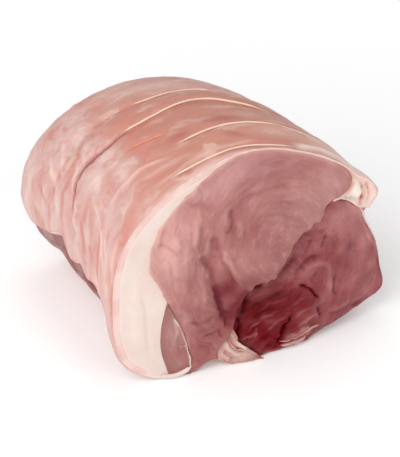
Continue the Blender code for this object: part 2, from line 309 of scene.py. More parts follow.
@dataclass(frozen=True)
class Ground:
    """All the marks of one surface, how far, how broadly and by which seed they wander, and how high."""

    marks: Sequence[Mark | Patch]
    wander: float = 0.7
    size: float = 7.0
    seed: int = 3
    relief: float = 1.0

    def read(self, points: Array) -> Array:
        """The four fields at each point, with every mark added and the heights scaled by the relief."""
        moved = warped(points, self.wander, self.size, self.seed)
        fields = np.sum([mark.read(moved) for mark in self.marks], axis=0)
        fields[LIFT] *= self.relief
        return fields


def groove(path: Sequence[Point], width: float, depth: float, dark: float) -> Mark:
    """A soft hollow along a line, with painted shade along it."""
    return Mark(path, width, lift=-depth, dark=dark)


def crease(path: Sequence[Point], width: float, depth: float, dark: float) -> Mark:
    """A fold that comes to an edge at its line, with painted shade along it."""
    return Mark(path, width, lift=-depth, dark=dark, sharp=True)


def ridge(path: Sequence[Point], width: float, height: float, pale: float) -> Mark:
    """A soft swelling along a line, paler along its crest: painted highlight as well as paler tissue."""
    return Mark(path, width, lift=height, pale=pale)


def round_outside(place: Point) -> Point:
    """A place on the outside as arc and depth in mm, from its angle in degrees and its depth."""
    return (math.radians(place[0]) * RADIUS, place[1])


def on_rind(marks: Sequence[Mark | Patch]) -> list[Mark | Patch]:
    """Marks of the outside, whose places are given as angle and depth.

    Args:
        marks: the marks, each with its places as angle in degrees and depth in mm.

    Returns:
        The same marks, with their places as arc and depth in mm.
    """
    moved = []
    for mark in marks:
        if isinstance(mark, Mark):
            moved.append(replace(mark, path=[round_outside(place) for place in mark.path]))
        else:
            moved.append(replace(mark, centre=round_outside(mark.centre)))
    return moved


# ---- the barrel


def half_turns(angle: Array) -> Array:
    """The same angles, from minus to plus half a turn."""
    return np.mod(angle + math.pi, math.tau) - math.pi


@dataclass(frozen=True)
class Barrel:
    """The joint's outer form, from the cut face to the far end, as the solid part has it."""

    front: float = -58.0
    back: float = 74.5
    centre: Point = (-4.0, 52.0)
    rim: Sequence[Point] = (
        (83.5, 15), (81, 32), (77.5, 47), (71, 59), (68, 68), (75, 77), (71.5, 85.5), (62, 92.5), (49, 103),
        (29, 113.5), (8, 120.5), (-12, 121.5), (-30, 116.5), (-58, 101), (-71, 86), (-77, 70), (-79, 50),
        (-78.5, 32), (-73.5, 15), (-65, 6.5), (-54, 1), (-45, -1), (-36, -1), (-30.5, 3.5), (-25, 6.5),
        (-19, 2.5), (-9, -2), (24, -2), (45, 4), (70, 9.5),
    )
    sag: float = 11.0
    sag_centre: Point = (15.0, 15.0)
    sag_reach: Point = (55.0, 60.0)
    back_dome: float = 4.0
    left_reach: Point = (74.5, 77.5)
    right_reach: Point = (81.0, 72.0)
    top_reach: Point = (74.5, 55.0)
    top_curve: float = 4.0
    square_upper_left: float = 2.08
    square_upper_right: float = 2.03
    square_lower_left: Point = (1.42, 1.66)
    square_lower_right: float = 3.4
    belly: float = 5.0
    rim_blend: float = 30.0
    back_round: float = 13.0
    turn_centre: float = math.radians(230)
    turn_half: float = math.radians(130)
    bow_most: float = 12.0
    bow_gain: float = 6.0
    bow_centre: float = math.radians(115)
    bow_width: float = math.radians(45)
    # The skin's right edge ripples by this many degrees, about this angle and over this many on each side.
    ripple_most: float = 2.6
    ripple_at: float = 14.0
    ripple_width: float = 15.0
    ripple_length: float = 24.0
    ripple_start: float = 4.0
    ripple_rise: float = 20.0
    # The far edge is rounder over the crown than beside the table: the gain by height, and the least share.
    back_crown: float = 1.3
    back_least: float = 0.25
    rim_samples: int = 400
    # How far the sections turn, in degrees, at each depth: the skin's lower edge climbs up the flank and
    # is scalloped where each score ends.
    turn_knots: Sequence[Point] = (
        (-58, 0), (-53, 9), (-47, 21), (-41, 32), (-37, 40), (-33, 47.5), (-29, 51), (-23, 51.5), (-17, 50.5),
        (-12, 53), (-8, 54), (-4, 52.5), (0, 51.3), (4, 50.8), (8, 53), (12, 56.5), (16, 56.5), (22, 55),
        (31, 52), (43, 49), (55, 45.8), (64, 44), (75, 42),
    )

    def polar(self, points: Array) -> tuple[Array, Array]:
        """Each point's angle about the centre and its distance from it."""
        offset = points - np.array(self.centre)
        return np.arctan2(offset[:, 1], offset[:, 0]), np.hypot(offset[:, 0], offset[:, 1])

    def at(self, angle: Array, radius: Array) -> Array:
        """The points on the cut face's plane at these angles and distances, as rows of x and z."""
        return np.stack([self.centre[0] + radius * np.cos(angle), self.centre[1] + radius * np.sin(angle)], 1)

    def knots(self) -> tuple[Array, Array]:
        """The rim's points as angle and radius about the centre, over three turns."""
        angle, radius = self.polar(np.array(self.rim, float))
        order = np.argsort(angle)
        angle, radius = angle[order], radius[order]
        return np.concatenate([angle - math.tau, angle, angle + math.tau]), np.tile(radius, 3)[:, None]

    def rim_radius(self, angle: Array) -> Array:
        """The distance from the centre to the cut face's outline at each angle."""
        return hermite(half_turns(angle), *self.knots())[:, 0]

    def body_radius(self, angle: Array, y: Array) -> Array:
        """The distance from the centre to the rounded box that the body is behind the cut face.

        Args:
            angle: each point's angle about the centre, in radians.
            y: each point's depth.

        Returns:
            One distance for each point, in mm.
        """
        t = np.clip((y - self.front) / (self.back - self.front), 0, 1)
        left = self.left_reach[0] + (self.left_reach[1] - self.left_reach[0]) * t
        right = self.right_reach[0] + (self.right_reach[1] - self.right_reach[0]) * t
        top = self.top_reach[0] + (self.top_reach[1] - self.top_reach[0]) * t
        top = top + 4 * self.top_curve * t * (1 - t)
        across, up = np.cos(angle), np.sin(angle)
        reach = np.where(across >= 0, right, left)
        height = np.where(up >= 0, top, self.centre[1] + self.belly)
        upper = np.where(across >= 0, self.square_upper_right, self.square_upper_left)
        lower_left = self.square_lower_left[0] + (self.square_lower_left[1] - self.square_lower_left[0]) * t
        power = np.where(up >= 0, upper, np.where(across >= 0, self.square_lower_right, lower_left))
        return ((np.abs(across) / reach) ** power + (np.abs(up) / height) ** power) ** (-1 / power)

    def section_radius(self, angle: Array, y: Array) -> Array:
        """The distance from the centre to the surface, as body_radius gives it, but flat on the table."""
        body = smooth((y - self.front) / self.rim_blend)
        radius = (1 - body) * self.rim_radius(angle) + body * self.body_radius(angle, y)
        end = np.clip((y - self.back + self.back_round) / self.back_round, 0, 1)
        up = np.sin(angle)
        drop = self.back_round * (1 - np.sqrt(1 - end * end))
        radius = radius - drop * np.clip(1 + self.back_crown * up, self.back_least, 1)
        return np.where(up < 0, np.minimum(radius, self.centre[1] / np.maximum(-up, 1e-6)), radius)

    def face_y(self, x: Array, z: Array) -> Array:
        """The cut face, which sags forward low down."""
        return self.front - self.sag * bell(np.stack([x, z], axis=1), self.sag_centre, self.sag_reach)

    def bow(self, angle: Array) -> Array:
        """How far forward of its place over the crown a section lies at this angle."""
        away = (np.mod(angle, math.tau) - self.bow_centre) / self.bow_width
        return -np.minimum(self.bow_gain * away * away, self.bow_most)

    def ripple(self, angle: Array, y: Array) -> Array:
        """How far the sections turn near the skin's right edge, which no knife left quite straight.

        Args:
            angle: each point's angle about the centre, in radians.
            y: each point's depth.

        Returns:
            One small angle for each point, in radians.
        """
        away = (np.degrees(half_turns(angle)) - self.ripple_at) / self.ripple_width
        waves = Noise(19).layered(np.stack([y, 0 * y], axis=1), self.ripple_length, 2)
        begun = smooth((y - self.front - self.ripple_start) / self.ripple_rise)
        return np.radians(self.ripple_most) * waves * np.exp(-away * away) * begun

    def placed(self, points: Array, y: Array, lift: Array | float = 0.0) -> Array:
        """Where points of the cut face's plane lie in the joint.

        Args:
            points: rows of x and z on the cut face's plane.
            y: each point's depth.
            lift: how far each point stands off the joint's section, in mm.

        Returns:
            Rows of x, y and z in mm, in the solid part's frame.
        """
        angle, distance = self.polar(points)
        share = distance / self.rim_radius(angle)
        away = (np.mod(angle, math.tau) - self.turn_centre) / self.turn_half
        near = np.where(np.abs(away) < 1, 0.5 + 0.5 * np.cos(math.pi * np.clip(away, -1, 1)), 0)
        angle = angle - np.radians(through_knots(y, self.turn_knots)) * near * share * share
        angle = angle + self.ripple(angle, y) * share * share
        radius = share * self.section_radius(angle, y) + lift
        x = self.centre[0] + radius * np.cos(angle)
        z = np.maximum(self.centre[1] + radius * np.sin(angle), 0)
        front = 1 - smooth((y - self.front) / self.rim_blend)
        bowed = (1 - front) * smooth((self.back - y) / self.back_round)
        across, up = (x - self.centre[0]) / self.left_reach[1], (z - self.centre[1]) / self.top_reach[1]
        dome = self.back_dome * np.maximum(0, 1 - across * across - up * up)
        dome = dome * smooth((y - self.back + self.back_round) / self.back_round)
        y = y + self.bow(angle) * bowed + (self.face_y(x, z) - self.front) * front + dome
        return np.stack([x, y, z], axis=1) + SHIFT

    def rim_stretch(self, start: float, end: float, step: float) -> Array:
        """Points about a step apart along the cut face's outline, between two angles in degrees."""
        fine = np.linspace(math.radians(start), math.radians(end), self.rim_samples)
        return curve_through(self.at(fine, self.rim_radius(fine)), step)


BARREL = Barrel()


# ---- finishes


def colour(code: str) -> tuple[float, float, float, float]:
    """A linear colour from an sRGB hex code."""
    shares = [int(code[i : i + 2], 16) / 255 for i in (1, 3, 5)]
    linear = [s / 12.92 if s <= 0.04045 else ((s + 0.055) / 1.055) ** 2.4 for s in shares]
    return (*linear, 1.0)


def feed(tree: Tree, node: Node, inputs: dict) -> None:
    """Sets or links a node's inputs.

    Args:
        tree: the node's tree.
        node: the node.
        inputs: a value or an output socket for each input, by name or number.
    """
    for key, value in inputs.items():
        if isinstance(value, Socket):
            tree.links.new(value, node.inputs[key])
        else:
            node.inputs[key].default_value = value


def add_node(tree: Tree, kind: str, inputs: dict, **settings: object) -> Node:
    """Adds a node with its settings and its inputs' values or links.

    Args:
        tree: the tree it goes into.
        kind: the node's type.
        inputs: a value or an output socket for each input, by name or number.
        settings: the node's own properties.

    Returns:
        The new node.
    """
    node = tree.nodes.new(kind)
    for key, value in settings.items():
        setattr(node, key, value)
    feed(tree, node, inputs)
    return node


def add_object(name: str, data: bpy.types.ID) -> bpy.types.Object:
    """Adds an object with this mesh, lamp or camera to the scene, at the origin."""
    thing = bpy.data.objects.new(name, data)
    bpy.context.scene.collection.objects.link(thing)
    return thing


class Bench:
    """A material's node tree, and the looks that are made in it step by step."""

    def __init__(self, name: str) -> None:
        """Starts a material with a Principled shader and nothing else."""
        self.material = bpy.data.materials.new(name)
        self.material.use_nodes = True
        self.tree = self.material.node_tree
        self.shader = self.tree.nodes["Principled BSDF"]

    def add(self, kind: str, inputs: dict, **settings: object) -> Node:
        """Adds a shader node, as add_node does, by its type without the ShaderNode in front."""
        return add_node(self.tree, "ShaderNode" + kind, inputs, **settings)

    def place(self) -> Socket:
        """Where each point lies, in metres."""
        return self.add("TexCoord", {}).outputs["Object"]

    def read(self, name: str) -> Socket:
        """A share that the mesh carries at each point."""
        return self.add("Attribute", {}, attribute_name=name).outputs["Fac"]

    def wandering(self, name: str, size: float, reach: float) -> Socket:
        """The places that the mesh carries, moved about by noise so that patterns on them aren't straight.

        Args:
            name: the attribute that holds the places.
            size: the width of the noise, in the places' units.
            reach: how far it moves them at most.

        Returns:
            The moved places.
        """
        place = self.add("Attribute", {}, attribute_name=name).outputs["Vector"]
        noise = self.add("TexNoise", {"Vector": place, "Scale": 1 / size, "Detail": 2.0})
        centred = self.add(
            "VectorMath", {0: noise.outputs["Color"], 1: (0.5, 0.5, 0.5)}, operation="SUBTRACT"
        )
        moved = self.add(
            "VectorMath", {0: centred.outputs[0], 1: (2 * reach, 2 * reach, 0.0), 2: place},
            operation="MULTIPLY_ADD",
        )
        return moved.outputs[0]

    def pattern(self, place: Socket, size: float | Sequence[float], detail: float) -> Socket:
        """Soft noise.

        Args:
            place: where each point is.
            size: the width of the bumps, or their widths three ways, in the units of the place.
            detail: how many finer octaves there are.

        Returns:
            The noise, from 0 to 1.
        """
        scale = tuple(1 / width for width in np.broadcast_to(size, 3))
        moved = self.add("Mapping", {"Vector": place, "Scale": scale})
        noise = self.add("TexNoise", {"Vector": moved.outputs[0], "Scale": 1.0, "Detail": detail})
        return noise.outputs["Fac"]

    def ranged(self, value: Socket, low: float, high: float, most: float) -> Socket:
        """A share from 0 to most as the value goes from low to high."""
        node = self.add(
            "MapRange",
            {"Value": value, "From Min": low, "From Max": high, "To Min": 0.0, "To Max": most},
            interpolation_type="SMOOTHSTEP",
        )
        return node.outputs[0]

    def mixed(self, share: object, under: object, over: object) -> Socket:
        """One colour laid over another by a share, each a value or a socket."""
        return self.add("Mix", {0: share, 6: under, 7: over}, data_type="RGBA").outputs[2]

    def tinted(self, under: object, value: Socket, limits: Point, most: float, code: str) -> Socket:
        """A hex colour laid over another, up to a share, as a value goes through its limits."""
        return self.mixed(self.ranged(value, *limits, most), under, colour(code))


@dataclass(frozen=True)
class Flesh:
    """What every finish of raw meat has: its colours, its wetness and how deep light sinks into it.

    mottle, fine, gloss_patch and sink are in mm.
    """

    name: str
    base: str
    second: str
    dark: str
    pale: str
    flush: str
    mottle: float = 16.0
    fine: float = 0.9
    gloss_patch: float = 5.0
    second_share: float = 0.7
    roughness: float = 0.42
    coat: float = 0.12
    soft: float = 0.2
    sink: float = 2.0
    bump: float = 0.25
    dull: float = 0.0

    def dress(self, bench: Bench) -> tuple[Socket, Socket]:
        """The finish's own colour and the height of its fine relief, both as sockets."""
        place = bench.place()
        mottle = bench.pattern(place, self.mottle * MM, 3.0)
        ground = bench.tinted(colour(self.base), mottle, (0.35, 0.68), self.second_share, self.second)
        return ground, bench.pattern(place, self.fine * MM, 2.0)

    def make(self) -> Material:
        """The finish as a material, with the mesh's own dark places (darker flesh and painted shade), pale
        places (paler tissue and painted highlights) and flushed places (stains, and a painted sheen on the
        main muscle) on top.
        """
        bench = Bench(self.name)
        ground, height = self.dress(bench)
        for share, code in (("flush", self.flush), ("pale", self.pale), ("dark", self.dark)):
            ground = bench.mixed(bench.read(share), ground, colour(code))
        bump = bench.add("Bump", {"Height": height, "Strength": self.bump, "Distance": 0.5 * MM})
        gloss = bench.pattern(bench.place(), self.gloss_patch * MM, 2.0)
        wettest, driest = self.roughness - 0.09, self.roughness + 0.12
        rough = bench.add(
            "MapRange",
            {"Value": gloss, "From Min": 0.3, "From Max": 0.7, "To Min": wettest, "To Max": driest},
        )
        blood = bench.add("Math", {0: bench.read("flush"), 1: self.dull}, operation="MULTIPLY").outputs[0]
        deep = bench.add("Math", {0: bench.read("dark"), 1: blood}, operation="MAXIMUM").outputs[0]
        feed(
            bench.tree,
            bench.shader,
            {
                "Base Color": ground,
                "Roughness": rough.outputs[0],
                "Normal": bump.outputs[0],
                "IOR": 1.4,
                "Subsurface Weight": self.soft,
                "Subsurface Radius": (1.0, 0.35, 0.25),
                "Subsurface Scale": self.sink * MM,
                "Specular IOR Level": bench.ranged(deep, 0.9, 0.0, 0.5),
                "Coat Weight": bench.ranged(deep, 0.7, 0.0, self.coat),
                "Coat Roughness": 0.28,
            },
        )
        return bench.material


@dataclass(frozen=True)
class CutLean(Flesh):
    """Lean muscle cut across: fibres in curved sheets, with a wet film that lights up in soft spots."""

    fibre: tuple[float, float] = (1.5, 9.0)
    sheet: tuple[float, float] = (4.5, 30.0)
    fibre_share: float = 0.3
    sheet_share: float = 0.35
    blotch: float = 11.0
    blotch_share: float = 0.0

    def dress(self, bench: Bench) -> tuple[Socket, Socket]:
        """Mottled flesh, with fibres and broader sheets along the mesh's own grain."""
        ground, fine = super().dress(bench)
        grain = bench.wandering("grain", 9.0, 2.5)
        fibre = bench.pattern(grain, (*self.fibre, 1.0), 3.0)
        sheet = bench.pattern(grain, (*self.sheet, 1.0), 2.0)
        place = bench.wandering("grain", 16.0, 6.0)
        blotch = bench.pattern(place, (self.blotch * 0.55, self.blotch, 1.0), 4.0)
        for value, limits, most, code in (
            (sheet, (0.5, 0.75), self.sheet_share, self.dark),
            (fibre, (0.52, 0.8), self.fibre_share, self.pale),
            (fibre, (0.46, 0.2), self.fibre_share, self.dark),
            (blotch, (0.5, 0.68), self.blotch_share, self.flush),
            (blotch, (0.44, 0.28), self.blotch_share, self.dark),
        ):
            ground = bench.tinted(ground, value, limits, most, code)
        height = bench.add("Math", {0: fibre, 1: 0.7, 2: fine}, operation="MULTIPLY_ADD")
        return ground, height.outputs[0]


@dataclass(frozen=True)
class CutFat(Flesh):
    """Firm back fat at the cut, with the thin layers of the rind along its outer edge."""

    layers: Sequence[tuple[float, str]] = (
        (0.0, "#e7cac2"), (1.1, "#e6c7be"), (1.8, "#e2b9b0"), (2.6, "#e9c9c1"), (3.5, "#e9c6be"),
        (4.0, "#e6bdb3"), (4.9, "#efdad2"),
    )
    deepest: float = 8.0
    under_skin: str = "#efdad2"
    patch: float = 9.0

    def dress(self, bench: Bench) -> tuple[Socket, Socket]:
        """The fat's colour, with a ramp by the depth below the rind over its outer millimetres."""
        ground, fine = super().dress(bench)
        depth = bench.read("depth")
        at = bench.add("MapRange", {"Value": depth, "From Min": 0.0, "From Max": self.deepest}).outputs[0]
        ramp = bench.add("ValToRGB", {"Fac": at})
        stops = ramp.color_ramp.elements
        while len(stops) < len(self.layers):
            stops.new(0.5)
        for stop, (place, code) in zip(stops, self.layers):
            stop.position = place / self.deepest
            stop.color = colour(code)
        patchy = bench.pattern(bench.place(), self.patch * MM, 2.0)
        skin = bench.tinted(ramp.outputs["Color"], patchy, (0.42, 0.62), 0.6, self.under_skin)
        return bench.mixed(bench.ranged(depth, 4.4, 6.2, 1.0), skin, ground), fine


@dataclass(frozen=True)
class ScoredRind(Flesh):
    """Damp scraped rind: it wrinkles along its scores, with pale and salmon streaks between them."""

    crown: str = "#c28572"
    cream: str = "#dfc1b5"
    streak: tuple[float, float] = (30.0, 8.5)
    wrinkle: tuple[float, float] = (20.0, 2.6)
    blotch: tuple[float, float] = (14.0, 6.5)

    def dress(self, bench: Bench) -> tuple[Socket, Socket]:
        """Pink flank to tan crown, streaked along the scores."""
        ground, fine = super().dress(bench)
        ground = bench.mixed(bench.read("crown"), ground, colour(self.crown))
        grain = bench.wandering("grain", 14.0, 9.0)
        streak = bench.pattern(grain, (*self.streak, 1.0), 3.0)
        wrinkle = bench.pattern(grain, (*self.wrinkle, 1.0), 3.0)
        blotch = bench.pattern(grain, (*self.blotch, 1.0), 3.0)
        for value, limits, most, code in (
            (streak, (0.49, 0.68), 0.8, self.flush),
            (blotch, (0.52, 0.7), 0.5, self.flush),
            (streak, (0.48, 0.32), 0.55, self.cream),
            (wrinkle, (0.55, 0.8), 0.25, self.cream),
        ):
            ground = bench.tinted(ground, value, limits, most, code)
        height = bench.add("Math", {0: wrinkle, 1: 1.2, 2: fine}, operation="MULTIPLY_ADD")
        return ground, height.outputs[0]


class Finish(Enum):
    """The joint's finishes."""

    # Raw lean of the main muscle, cut across with a knife: pale rose with a damp, low gloss. Its flush colour
    # is
    # lavender grey: a mottled tone, and a painted sheen where patches lay it along the top and left by the
    # fat.
    MAIN_LEAN = CutLean(
        "cut_lean_rose", base="#aa6862", second="#9d5a56", dark="#75333a", pale="#dfaaa1", flush="#c6979a",
        mottle=15, second_share=0.9, fibre_share=0.28, sheet_share=0.2, blotch_share=0.32,
    )
    # Raw lean of the deeper leg muscle: darker, redder and wetter, as it's less worked and holds more blood.
    SIDE_LEAN = CutLean(
        "cut_lean_deep_red", base="#9f4146", second="#893238", dark="#4d060c", pale="#cb8983",
        flush="#70101a", mottle=14, roughness=0.36, coat=0.25, fibre=(1.4, 7.0), sheet=(3.8, 20.0),
        fibre_share=0.34, sheet_share=0.3, blotch=8.0, blotch_share=0.22, bump=0.35, dull=0.9,
    )
    # The small outer muscle: greyer, under a thin silvery film.
    SMALL_LEAN = CutLean(
        "cut_lean_grey_rose", base="#a0615b", second="#91534d", dark="#7a4042", pale="#dcb8b0",
        flush="#b48a88", mottle=10, fibre_share=0.25, sheet_share=0.25,
    )
    # Firm back fat, cut with a knife: cream white, dull and a little waxy.
    BACK_FAT = CutFat(
        "cut_back_fat", base="#ead8cf", second="#e5cdc3", dark="#b5705f", pale="#f9eadd", flush="#e8bba9",
        mottle=14, roughness=0.5, coat=0.06, soft=0.3, sink=3.0, bump=0.12,
    )
    # Soft seam fat between the muscles: pinker than back fat, pulled into lobes and glossy.
    SEAM_FAT = Flesh(
        "pulled_seam_fat", base="#cda498", second="#bb857d", dark="#863b3a", pale="#ead2c6",
        flush="#b8645f", mottle=7, roughness=0.36, coat=0.25, soft=0.3, bump=0.3,
    )
    # Scraped rind with knife scores: damp and pale on the flank, tan over the crown, with soft wrinkles.
    RIND = ScoredRind(
        "scraped_rind", base="#d2aba4", second="#ca9890", dark="#96433a", pale="#ecd2c8", flush="#ca8578",
        mottle=20, roughness=0.44, coat=0.1, soft=0.22, sink=2.0, bump=0.3,
    )
    # The split edge of the rind along each score: bloodless and almost white.
    SPLIT_EDGE = Flesh(
        "split_rind_edge", base="#fbe3cf", second="#f3cdb8", dark="#b5705c", pale="#fff0e2",
        flush="#e8b097", mottle=9, roughness=0.42, coat=0.1, soft=0.25, bump=0.1,
    )
    # The short score's edge, which took up meat juice: salmon orange, and as damp as the rind round it.
    STAINED_EDGE = Flesh(
        "stained_rind_edge", base="#e59a76", second="#dc8465", dark="#a75440", pale="#f3bb9b",
        flush="#dd8060", mottle=5, roughness=0.42, coat=0.1, soft=0.2, bump=0.1,
    )
    # The floor of a closed slit: moist deeper skin, coloured darker as painted shade, since hardly any light
    # gets to it.
    SHADED_SLIT_FLOOR = Flesh(
        "slit_floor_painted_shade", base="#a5625a", second="#95534c", dark="#7a3f38", pale="#c98f83", flush="#a05a50",
        mottle=6, roughness=0.45, coat=0.05, soft=0.2, bump=0.1,
    )
    # The fat's thin lower edge, drawn out under the small muscle: as white as the back fat, and softer.
    FOOT_FAT = Flesh(
        "drawn_out_fat", base="#ecdad0", second="#e6cdc2", dark="#b97a70", pale="#fbeee6", flush="#e9bdb2",
        mottle=8, roughness=0.45, coat=0.08, soft=0.3, sink=3.0, bump=0.12,
    )
    # Silver skin and sinew between the muscles: thin, white and shining where it is wet.
    SILVER_SKIN = Flesh(
        "silver_skin", base="#ecd2cc", second="#d9aca6", dark="#a0605c", pale="#f8ebe6", flush="#cf9791",
        mottle=6, roughness=0.3, coat=0.3, soft=0.25, bump=0.1,
    )

    @cache
    def material(self) -> Material:
        """The finish as a material, made the first time it is asked for."""
        return self.value.make()


# ---- sweeping a piece


class Zone(Enum):
    """Which surface of the joint a stretch of outline makes as it runs to the far end."""

    OUTSIDE = "the rind, or the bare lean and fat under its edge"
    SEAM = "a wall between pieces"


@dataclass
class Stretch:
    """A stretch of a piece's outline on the cut face, with the radius of the rounded edge along it in mm."""

    points: Array
    zone: Zone
    round: float = 0.3


def drawn_in(outline: Array, distance: Array) -> Array:
    """The closed anticlockwise outline with each point moved inwards.

    Args:
        outline: rows of x and z.
        distance: how far each point moves, in mm.

    Returns:
        The moved outline.
    """
    before = outline - np.roll(outline, 1, axis=0)
    after = np.roll(outline, -1, axis=0) - outline
    before /= np.linalg.norm(before, axis=1)[:, None]
    after /= np.linalg.norm(after, axis=1)[:, None]
    inward = np.stack([-(before + after)[:, 1], (before + after)[:, 0]], axis=1)
    length = np.linalg.norm(inward, axis=1)
    return outline + inward / length[:, None] * (distance * np.minimum(2 / length, 1.6))[:, None]


def room(outline: Array) -> Array:
    """How far each point of a closed outline can be drawn in before its corners and thin tips cross.

    Args:
        outline: rows of x and z.

    Returns:
        One distance for each point, in mm.
    """
    before = outline - np.roll(outline, 1, axis=0)
    after = np.roll(outline, -1, axis=0) - outline
    turn = np.arctan2(
        before[:, 0] * after[:, 1] - before[:, 1] * after[:, 0], np.sum(before * after, axis=1)
    )
    lengths = np.linalg.norm(after, axis=1)
    along = np.concatenate([[0], np.cumsum(lengths[:-1])])
    arc = np.abs(along[:, None] - along[None, :])
    arc = np.minimum(arc, lengths.sum() - arc)
    chord = np.linalg.norm(outline[:, None] - outline[None, :], axis=2)
    facing = np.where((arc > 1.3 * chord) & (chord > 0), chord, np.inf).min(axis=1)
    corners = np.abs(turn) > math.radians(20)
    corner = arc[:, corners].min(axis=1) if corners.any() else np.full(len(outline), np.inf)
    return np.minimum(np.maximum(0.4 * facing - 0.3, 0.02), 0.5 * corner + 0.15)


def inside(points: Array, outline: Array) -> Array:
    """Which points lie inside the closed outline, by how often a line to the right of each crosses it."""
    within = np.zeros(len(points), bool)
    for (x0, z0), (x1, z1) in zip(outline, np.roll(outline, -1, axis=0)):
        crosses = (z0 > points[:, 1]) != (z1 > points[:, 1])
        if z0 != z1:
            within ^= crosses & (points[:, 0] < (x1 - x0) * (points[:, 1] - z0) / (z1 - z0) + x0)
    return within


# Even triangles stand in rows this many sides apart, and their corners keep this far off the outline.
ROW_HEIGHT, EDGE_ROOM = 0.87, 0.6


def filled(outline: Array, step: float) -> tuple[Array, Array]:
    """Fills an outline with even triangles.

    Args:
        outline: the closed outline's points, anticlockwise.
        step: the triangles' size, in mm.

    Returns:
        The points added inside, and rows of three numbers that count the outline's points first.
    """
    low, high = outline.min(axis=0), outline.max(axis=0)
    rows = np.arange(low[1] + step / 2, high[1], step * ROW_HEIGHT)
    columns = np.arange(low[0], high[0], step)
    grid = np.concatenate(
        [np.stack([columns + (k % 2) * step / 2, np.full(len(columns), z)], 1) for k, z in enumerate(rows)]
    )
    grid = grid[inside(grid, outline)]
    closed = np.concatenate([outline, outline[:1]])
    grid = grid[nearest_on(grid, closed)[0] > step * EDGE_ROOM]
    points = [Vector(p) for p in np.concatenate([outline, grid])]
    found = delaunay_2d_cdt(points, [], [list(range(len(outline)))], 1, 1e-6)
    first = [ids[0] for ids in found[3]]
    return grid, np.array([[first[i] for i in face] for face in found[2]])


@dataclass
class Shell:
    """A closed mesh as it grows: its points, what each one carries, and its triangles."""

    points: list[Array] = field(default_factory=list)
    carried: dict[str, list[Array]] = field(default_factory=dict)
    faces: list[Array] = field(default_factory=list)
    slots: list[Array] = field(default_factory=list)
    count: int = 0

    def add(self, points: Array, carried: dict[str, Array]) -> Array:
        """Adds points with what they carry, and returns their numbers."""
        for name, values in carried.items():
            self.carried.setdefault(name, []).append(values)
        self.points.append(points)
        self.count += len(points)
        return np.arange(self.count - len(points), self.count)

    def tile(self, faces: Array, slot: int) -> None:
        """Adds triangles, or squares as rows of four, that show one of the piece's materials."""
        if faces.shape[1] == 4:
            faces = np.concatenate([faces[:, [0, 1, 2]], faces[:, [0, 2, 3]]])
        self.faces.append(faces)
        self.slots.append(np.full(len(faces), slot))

    def closed(self, name: str, materials: Sequence[Material]) -> bpy.types.Object:
        """The shell as a smooth mesh object at the origin.

        Args:
            name: the piece's name.
            materials: its materials, in the order that the triangles' slots count them.

        Returns:
            The piece.
        """
        mesh = bpy.data.meshes.new(name)
        points, faces = np.concatenate(self.points) * MM, np.concatenate(self.faces)
        mesh.from_pydata(points.tolist(), [], faces.tolist())
        mesh.polygons.foreach_set("material_index", np.concatenate(self.slots).astype(np.int32))
        for key, values in self.carried.items():
            joined = np.concatenate(values).astype(np.float32)
            kind = "FLOAT_VECTOR" if joined.ndim == 2 else "FLOAT"
            layer = mesh.attributes.new(key, kind, "POINT")
            layer.data.foreach_set("vector" if joined.ndim == 2 else "value", joined.ravel())
        for material in materials:
            mesh.materials.append(material)
        mesh.shade_smooth()
        mesh.update()
        return add_object(name, mesh)


